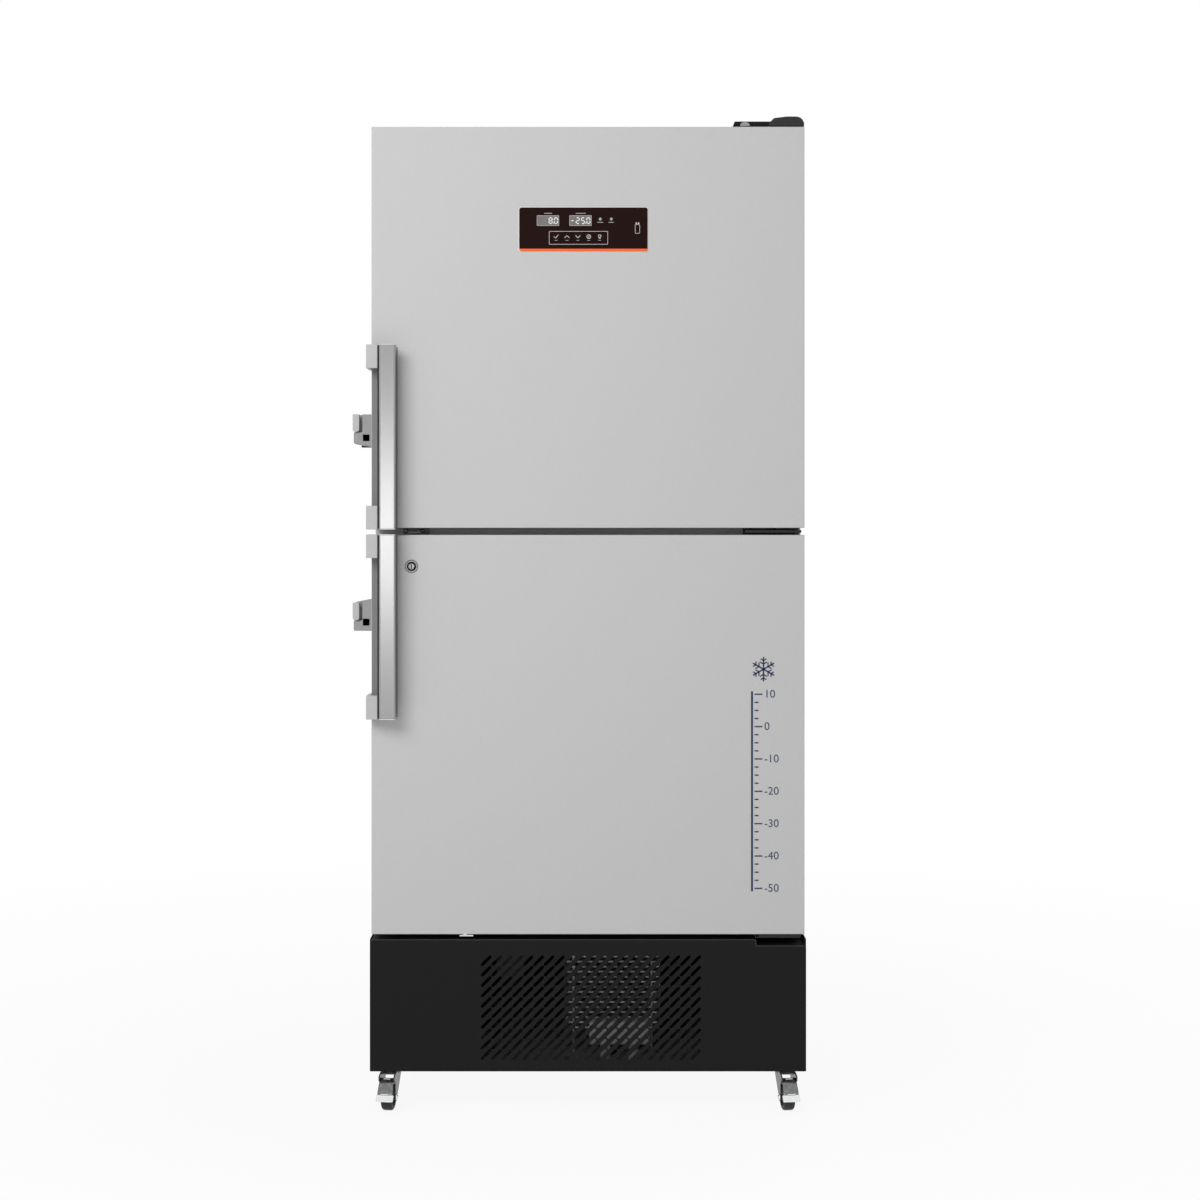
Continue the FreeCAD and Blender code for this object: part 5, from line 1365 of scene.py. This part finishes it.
# Small bright stop plate on a stem below the lower door
def buildDoorFoot():
    z = lowerDoorLow.z
    x = lowerDoorLow.x
    y = doorFront + doorFoot["back"]
    bottom = z - doorFoot["drop"]
    depth = doorFoot["depth"]
    stemFront = y + (depth - doorFoot["stemDepth"]) / 2
    plate = boxMesh("plate", (x + doorFoot["left"], y, bottom),
                    (x + doorFoot["right"], y + depth, bottom + doorFoot["sheet"]))
    stem = boxMesh("stem", (x + doorFoot["stemLeft"], stemFront, bottom),
                   (x + doorFoot["stemRight"], stemFront + doorFoot["stemDepth"], z))
    addPiece("doorFoot", [plate, stem], "chrome", "lower_door", bevel=0.0006)


buildDoorFoot()


shelf = {
    "rodRadius": 0.003,
    "wireRadius": 0.0015,
    "wires": 22,
    "levels": 3,
    "lowerFloor": 0.405,
    "roofDrop": 0.075,
}


# Coated wire shelves: a frame of rod, a cross rod and close wires from front to back
def buildShelves():
    low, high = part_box("wire_shelves")
    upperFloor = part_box("upper_liner")[0].z
    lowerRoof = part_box("lower_liner")[1].z
    rod = shelf["rodRadius"]
    x0 = low.x + rod
    x1 = high.x - rod
    y0 = low.y + rod
    y1 = high.y - rod
    rods = []
    wires = []
    for bottom, top in ((shelf["lowerFloor"], lowerRoof), (upperFloor, casingHigh.z - shelf["roofDrop"])):
        for step in range(shelf["levels"]):
            z = bottom + (top - bottom) * (step + 1) / (shelf["levels"] + 1) + rod
            rods.append([(x0, y0, z), (x1, y0, z), (x1, y1, z), (x0, y1, z), (x0, y0, z)])
            rods.append([(x0, (y0 + y1) / 2, z), (x1, (y0 + y1) / 2, z)])
            for k in range(shelf["wires"]):
                x = x0 + (x1 - x0) * (k + 1) / (shelf["wires"] + 1)
                wires.append([(x, y0, z + rod * 0.4), (x, y1, z + rod * 0.4)])
    addPiece("shelfRods", tubeMesh("shelfRods", rods, rod, rounds=2), "wireCoat", "cabinet",
             sharpAngle=50.0, replaces=("wire_shelves",))
    close = tubeMesh("shelfWires", wires, shelf["wireRadius"], rounds=1)
    addPiece("shelfWires", close, "wireCoat", "cabinet", sharpAngle=60.0)


room = {
    "wall": 0.080,
    "sheet": 0.0012,
    "edge": 0.0010,
    "underMullion": 0.030,
}


# Liner sheets that face the insulation between the two rooms
def buildRoomSheets():
    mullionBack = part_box("centre_mullion")[1].y
    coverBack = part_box("evaporator_covers")[1].y
    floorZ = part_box("upper_liner")[0].z
    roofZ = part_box("lower_liner")[1].z
    wall = room["wall"] + room["edge"]
    sheet = room["sheet"]
    for name, bottom in (("upperRoomFloor", floorZ), ("lowerRoomRoof", roofZ - sheet)):
        mesh = boxMesh(name, (doorLeft + wall, mullionBack - room["underMullion"], bottom),
                       (doorRight - wall, coverBack - room["edge"], bottom + sheet))
        addPiece(name, mesh, "linerPlastic", "cabinet", bevel=0.0004)


buildShelves()
buildRoomSheets()
print("hinge cover, screws and shelves built")


caster = {
    "plate": 0.030,
    "bowlTop": 0.0275,
    "bowlBottom": 0.0215,
    "trail": 0.022,
    "wheelRadius": 0.025,
    "wheelHalf": 0.0108,
    "forkInner": 0.013,
    "forkSheet": 0.0025,
    "footRadius": 0.0085,
    "turn": 8.0,
    "plateTop": 0.078,
    "plateSheet": 0.0026,
    "plateCorner": 0.006,
    "crownZ": 0.0715,
    "bridge": 0.0025,
    "bridgeBack": 0.0168,
}


# Tyre with rounded shoulders and a sunken hub, the same from both sides
def wheelProfile():
    half = caster["wheelHalf"]
    r = caster["wheelRadius"]
    shoulder = [(r - 0.0062, 0.0), (r - 0.0026, 0.0008), (r - 0.0009, 0.0024), (r - 0.0002, 0.0052)]
    left = [(radius, -half + inset) for radius, inset in shoulder]
    right = [(radius, half - inset) for radius, inset in reversed(shoulder)]
    hubFace = [(0.0042, -half + 0.002), (0.0085, -half + 0.002), (0.0095, -half + 0.0034),
               (0.0150, -half + 0.0034), (0.0160, -half + 0.0006)]
    hubBack = [(radius, -height) for radius, height in reversed(hubFace)]
    return hubFace + left + right + hubBack + hubFace[:1]


# Side plate of the fork: from the crown down to a round foot at the axle
def forkOutline(braked):
    y = -caster["trail"]
    z = caster["wheelRadius"]
    r = caster["footRadius"]
    crown = caster["crownZ"]
    arc = []
    for degrees in range(200, 381, 20):
        angle = math.radians(degrees)
        arc.append((y + r * math.cos(angle), z + r * math.sin(angle)))
    back = roundCorners([(0.006, 0.052), (0.017, 0.064, 0.006), (0.017, crown), (y - 0.002, crown)])[:-2]
    top = [(0.017, crown), (y - 0.004, crown)]
    front = [(y - 0.008, 0.060)]
    if braked:
        front = [(y - 0.018, 0.0668), (y - 0.0182, 0.0585), (y - 0.0095, 0.0520)]
    return arc + back[1:] + top + front


# A curved sheet of even thickness, from rows of points that follow its middle
def sheetPiece(name, rows, thickness, finish, body, replaces=()):
    points = [tuple(point) for row in rows for point in row]
    mesh = bpy.data.meshes.new(name)
    mesh.from_pydata(points, [], gridFaces(len(rows), len(rows[0])))
    mesh.materials.append(finishes[finish])
    smoothMesh(mesh, 60.0)
    piece = placeObject(name, mesh)
    thickenSheet(piece, thickness)
    soft = piece.modifiers.new("soft", "SUBSURF")
    soft.levels = 2
    soft.render_levels = 2
    mountPiece(piece, body, replaces)


# Mounting plate, swivel bowl, fork, axle bolt and wheel, and the brake where there is one. The pieces that
# swivel are made round their own pivot and then put in place.
def buildCaster(corner, x, y, turn, braked):
    place = Matrix.Translation((x, y, 0)) @ Matrix.Rotation(math.radians(turn), 4, "Z")
    side = caster["plate"]
    top = caster["plateTop"]
    under = top - caster["plateSheet"]
    bowlTop = caster["bowlTop"]
    bowlBottom = caster["bowlBottom"]
    forkBody = corner + "_fork"
    wheelBody = corner + "_wheel"
    axleY = -caster["trail"]
    axleZ = caster["wheelRadius"]
    square = rectangle(x - side, x + side, y - side, y + side, caster["plateCorner"])
    plate = prismMesh("plate", square, "z", under, top)
    addPiece(corner + "CasterPlate", plate, "plated", "cabinet", bevel=0.0006,
             replaces=("caster_plates",))
    profile = [(0.0, top - 0.0036), (0.0, under), (bowlTop, under), (bowlTop - 0.001, top - 0.0042),
               (bowlBottom + 0.002, top - 0.0066), (bowlBottom, top - 0.0080),
               (bowlBottom - 0.004, top - 0.0084), (bowlBottom - 0.006, top - 0.0070), (0.0, top - 0.0036)]
    bowl = latheMesh("bowl", profile, (x, y, 0))
    addPiece(corner + "CasterBowl", bowl, "plated", "cabinet")
    crown = latheMesh("crown", [(0.0, 0.0655), (0.0150, 0.0655), (0.0178, 0.0668), (0.0186, 0.0684),
                                (0.0172, 0.0700), (0.0140, 0.0712), (0.0, 0.0716)], (0, 0, 0))
    crown.transform(place)
    # The crown and fork legs are plated steel painted darker, as the shade under the freezer
    addPiece(corner + "ForkCrown", crown, "platedPaintedShade", forkBody)
    inner = caster["forkInner"]
    outer = inner + caster["forkSheet"]
    side = forkOutline(braked)
    legs = [prismMesh("leg", side, "x", a, b) for a, b in ((-outer, -inner), (inner, outer))]
    across = inner + 0.001
    outline = rectangle(-across, across, axleY - 0.003, caster["bridgeBack"], 0.002)
    bridge = prismMesh("bridge", outline, "z", caster["crownZ"] - caster["bridge"], caster["crownZ"])
    legs = joinMeshes(corner + "ForkLegs", legs + [bridge])
    legs.transform(place)
    addPiece(corner + "ForkLegs", legs, "platedPaintedShade", forkBody, bevel=0.0006,
             replaces=(corner + "_caster_fork",))
    head = [(0.0, 0.0030), (0.0030, 0.0029), (0.0036, 0.0022), (0.0036, 0.0014), (0.0062, 0.0012),
            (0.0066, 0.0), (0.0038, -0.0002)]
    bolt = [(radius, -outer - reach) for radius, reach in head]
    bolt += [(radius, outer + reach) for radius, reach in reversed(head)]
    axle = latheMesh("axle", bolt, (0, axleY, axleZ), (1, 0, 0), 32)
    axle.transform(place)
    # The axle bolt is plated steel painted brighter, as a highlight
    addPiece(corner + "AxleBolt", axle, "platedPaintedHighlight", forkBody)
    wheel = latheMesh("wheel", wheelProfile(), (0, axleY, axleZ), (1, 0, 0), 64)
    wheel.transform(place)
    addPiece(corner + "Wheel", wheel, "wheelRubber", wheelBody,
             replaces=(corner + "_caster_wheel",))
    if braked:
        buildBrow(corner, place)
        buildPedal(corner, place)


pedal = {                       # each row is a depth and a height, the ribs also a half width
    "rows": ((-0.0295, 0.0620), (-0.0345, 0.0608), (-0.0400, 0.0578), (-0.0455, 0.0528), (-0.0500, 0.0465),
             (-0.0528, 0.0400), (-0.0542, 0.0345)),
    "lipRows": ((-0.0540, 0.0362), (-0.0550, 0.0325), (-0.0575, 0.0292), (-0.0604, 0.0268),
                (-0.0618, 0.0248)),
    "ribRows": ((-0.0350, 0.0618, 0.0066), (-0.0549, 0.0378, 0.0076)),
    "armOutline": ((-0.0290, 0.0612), (-0.0400, 0.0566), (-0.0490, 0.0465), (-0.0528, 0.0360),
                   (-0.0470, 0.0330), (-0.0405, 0.0420), (-0.0330, 0.0500), (-0.0270, 0.0550)),
    "browRows": ((-0.0120, 0.0730), (-0.0185, 0.0727), (-0.0240, 0.0716), (-0.0268, 0.0698),
                 (-0.0276, 0.0676)),
    "browHalf": 0.0152,
    "browTaper": 0.0004,
    "ribRadius": 0.0011,
    "ribRise": 0.0008,
    "armInset": 0.0026,
    "armSheet": 0.0016,
    "topHalf": 0.0128,
    "footHalf": 0.0150,
    "lipHalf": 0.0166,
    "curl": 0.0018,
    "sheet": 0.0018,
}


# One row of a sheet that curls back at both ends
def crownedRow(place, spot, half):
    depth, height = spot
    curl = pedal["curl"]
    return [place @ Vector((share * half, depth + drop * curl, height))
            for share, drop in ((-1.0, 1.0), (-0.84, 0.15), (0.0, 0.0), (0.84, 0.15), (1.0, 1.0))]


# Curved toe plate with two raised ribs and a flared lip, both painted bright as highlights, and two arms to
# its pivot
def buildPedal(corner, place):
    body = corner + "_pedal"
    last = len(pedal["rows"]) - 1
    spread = pedal["footHalf"] - pedal["topHalf"]
    rows = [crownedRow(place, spot, pedal["topHalf"] + spread * i / last)
            for i, spot in enumerate(pedal["rows"])]
    sheetPiece(corner + "PedalPlate", rows, pedal["sheet"], "plated", body,
               replaces=(corner + "_brake_pedal",))
    lip = [crownedRow(place, spot, pedal["lipHalf"]) for spot in pedal["lipRows"]]
    sheetPiece(corner + "PedalLip", lip, pedal["sheet"], "platedPaintedHighlight", body)
    ribs = []
    for depth, height, half in pedal["ribRows"]:
        ribs.append([tuple(place @ Vector((share * half, depth - pedal["ribRise"], height)))
                     for share in (-1, 0, 1)])
    ribMesh = tubeMesh(corner + "PedalRibs", ribs, pedal["ribRadius"])
    addPiece(corner + "PedalRibs", ribMesh, "platedPaintedHighlight", body)
    arms = []
    for side in (-1, 1):
        inside = side * (pedal["topHalf"] - pedal["armInset"])
        arm = prismMesh("arm", pedal["armOutline"], "x", inside, inside + side * pedal["armSheet"])
        arm.transform(place)
        arms.append(arm)
    # The arms are plated steel painted darker, as shade
    addPiece(corner + "PedalArms", arms, "platedPaintedShade", body, bevel=0.0004)


# Brow of the fork: curved sheet that closes the fork above the pedal
def buildBrow(corner, place):
    rows = [crownedRow(place, spot, pedal["browHalf"] - pedal["browTaper"] * i)
            for i, spot in enumerate(pedal["browRows"])]
    sheetPiece(corner + "ForkBrow", rows, pedal["sheet"], "plated", corner + "_fork")


casterLow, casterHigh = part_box("caster_plates")
leftX = casterLow.x + caster["plate"]
rightX = casterHigh.x - caster["plate"]
frontY = casterLow.y + caster["plate"]
rearY = casterHigh.y - caster["plate"]
buildCaster("front_left", leftX, frontY, -caster["turn"], True)
buildCaster("front_right", rightX, frontY, caster["turn"], True)
buildCaster("rear_left", leftX, rearY, 0.0, False)
buildCaster("rear_right", rightX, rearY, 0.0, False)
print("casters built")


studio = {
    "fill": 0.375,
    "floorRadius": 14.0,
    "floorTone": 0.88,
    "shadowReach": 0.7,            # metres from the middle, where the floor starts to run out to white
    "whiteFrom": 3.0,
    "whiteShare": 0.9,             # how much of the floor near the freezer is plain white to the camera
}
lamps = {
    "keyLamp": {"place": (-1.5, -3.2, 2.7), "target": (0.05, -0.3, 1.35), "size": (2.0, 1.6),
                "power": 71.0},
    "topLamp": {"place": (0.6, 0.4, 3.6), "target": (0.0, 0.0, 1.2), "size": (1.6, 1.6), "power": 20.0},
    "backLamp": {"place": (1.6, 3.4, 2.2), "target": (0.0, 0.2, 1.0), "size": (2.0, 1.6), "power": 26.0},
    "cardLamp": {"place": (-0.8, -4.9, 1.09), "target": (-0.36, -0.4, 1.09), "size": (1.6, 0.6),
                 "power": 9.0, "inReflections": True},
}
camera = {
    "metresPerPixel": 0.00187,     # of the doors' plane, per pixel of the photograph
    "imageWidth": 1200,
    "distance": 4.0,               # from the doors' plane
    "eyeHeight": 1.0915,
    "centreAcross": 588,           # pixel column of the doors' middle
    "shiftDown": 0.0585,
}


# White for the camera and for reflections, a plain fill for everything else
def buildWorld():
    world = bpy.data.worlds.new("studioWorld")
    world.use_nodes = True
    nodes = world.node_tree.nodes
    links = world.node_tree.links
    fill = nodes["Background"]
    fill.inputs["Color"].default_value = (1.0, 1.0, 1.0, 1.0)
    fill.inputs["Strength"].default_value = studio["fill"]
    white = nodes.new("ShaderNodeBackground")
    white.inputs["Color"].default_value = (1.0, 1.0, 1.0, 1.0)
    white.inputs["Strength"].default_value = 1.0
    mix = nodes.new("ShaderNodeMixShader")
    links.new(seenDirectly(nodes, links), mix.inputs[0])
    links.new(fill.outputs[0], mix.inputs[1])
    links.new(white.outputs[0], mix.inputs[2])
    links.new(mix.outputs[0], nodes["World Output"].inputs["Surface"])
    bpy.context.scene.world = world


# 1 for camera, glossy and transmission rays
def seenDirectly(nodes, links):
    path = nodes.new("ShaderNodeLightPath")
    first = nodes.new("ShaderNodeMath")
    first.operation = "MAXIMUM"
    links.new(path.outputs["Is Camera Ray"], first.inputs[0])
    links.new(path.outputs["Is Glossy Ray"], first.inputs[1])
    second = nodes.new("ShaderNodeMath")
    second.operation = "MAXIMUM"
    links.new(first.outputs[0], second.inputs[0])
    links.new(path.outputs["Is Transmission Ray"], second.inputs[1])
    return second.outputs[0]


# Pale floor that keeps the shadow near the freezer and runs out to white
def buildFloor():
    radius = studio["floorRadius"]
    mesh = makeMesh("studioFloor", [(x, y, 0.0) for x, y in circle(0, 0, radius, 96)], [list(range(96))])
    floor = placeObject("studioFloor", mesh)
    material = bpy.data.materials.new("studioFloor")
    material.use_nodes = True
    nodes = material.node_tree.nodes
    links = material.node_tree.links
    shader = nodes["Principled BSDF"]
    white = studio["floorTone"]
    white = studio["floorTone"]
    white = studio["floorTone"]
    shader.inputs["Base Color"].default_value = (white, white, white, 1.0)
    shader.inputs["Roughness"].default_value = 0.9
    shader.inputs["Specular IOR Level"].default_value = 0.1
    glow = nodes.new("ShaderNodeEmission")
    glow.inputs["Strength"].default_value = 1.0
    coordinates = nodes.new("ShaderNodeTexCoord")
    length = nodes.new("ShaderNodeVectorMath")
    length.operation = "LENGTH"
    links.new(coordinates.outputs["Object"], length.inputs[0])
    reach = nodes.new("ShaderNodeMapRange")
    reach.inputs["From Min"].default_value = studio["shadowReach"]
    reach.inputs["From Max"].default_value = studio["whiteFrom"]
    reach.inputs["To Min"].default_value = studio["whiteShare"]
    reach.inputs["To Max"].default_value = 1.0
    links.new(length.outputs["Value"], reach.inputs["Value"])
    share = nodes.new("ShaderNodeMath")
    share.operation = "MULTIPLY"
    links.new(seenDirectly(nodes, links), share.inputs[0])
    links.new(reach.outputs["Result"], share.inputs[1])
    mix = nodes.new("ShaderNodeMixShader")
    links.new(share.outputs[0], mix.inputs[0])
    links.new(shader.outputs[0], mix.inputs[1])
    links.new(glow.outputs[0], mix.inputs[2])
    links.new(mix.outputs[0], nodes["Material Output"].inputs["Surface"])
    mesh.materials.append(material)


# Soft rectangular lamp, never seen by the camera
def addLamp(name, look):
    lamp = bpy.data.lights.new(name, "AREA")
    lamp.shape = "RECTANGLE"
    lamp.size, lamp.size_y = look["size"]
    lamp.energy = look["power"]
    holder = placeObject(name, lamp)
    holder.location = look["place"]
    aim = Vector(look["target"]) - Vector(look["place"])
    holder.rotation_mode = "QUATERNION"
    holder.rotation_quaternion = aim.to_track_quat("-Z", "Y")
    holder.visible_camera = False
    holder.visible_glossy = look.get("inReflections", False)


# Looks straight back, with the freezer placed in the picture by lens shift
def buildCamera():
    width = camera["imageWidth"]
    lens = bpy.data.cameras.new("camera")
    lens.sensor_width = 36.0
    lens.lens = lens.sensor_width * camera["distance"] / (camera["metresPerPixel"] * width)
    lens.shift_x = (width / 2 - camera["centreAcross"]) / width
    lens.shift_y = -camera["shiftDown"]
    holder = placeObject("camera", lens)
    holder.location = ((doorLeft + doorRight) / 2, doorFront - camera["distance"], camera["eyeHeight"])
    holder.rotation_euler = (math.pi / 2, 0, 0)
    bpy.context.scene.camera = holder


buildWorld()
buildFloor()
for name, look in lamps.items():
    addLamp(name, look)
buildCamera()
bpy.context.scene.view_settings.view_transform = "Standard"
print("studio built")
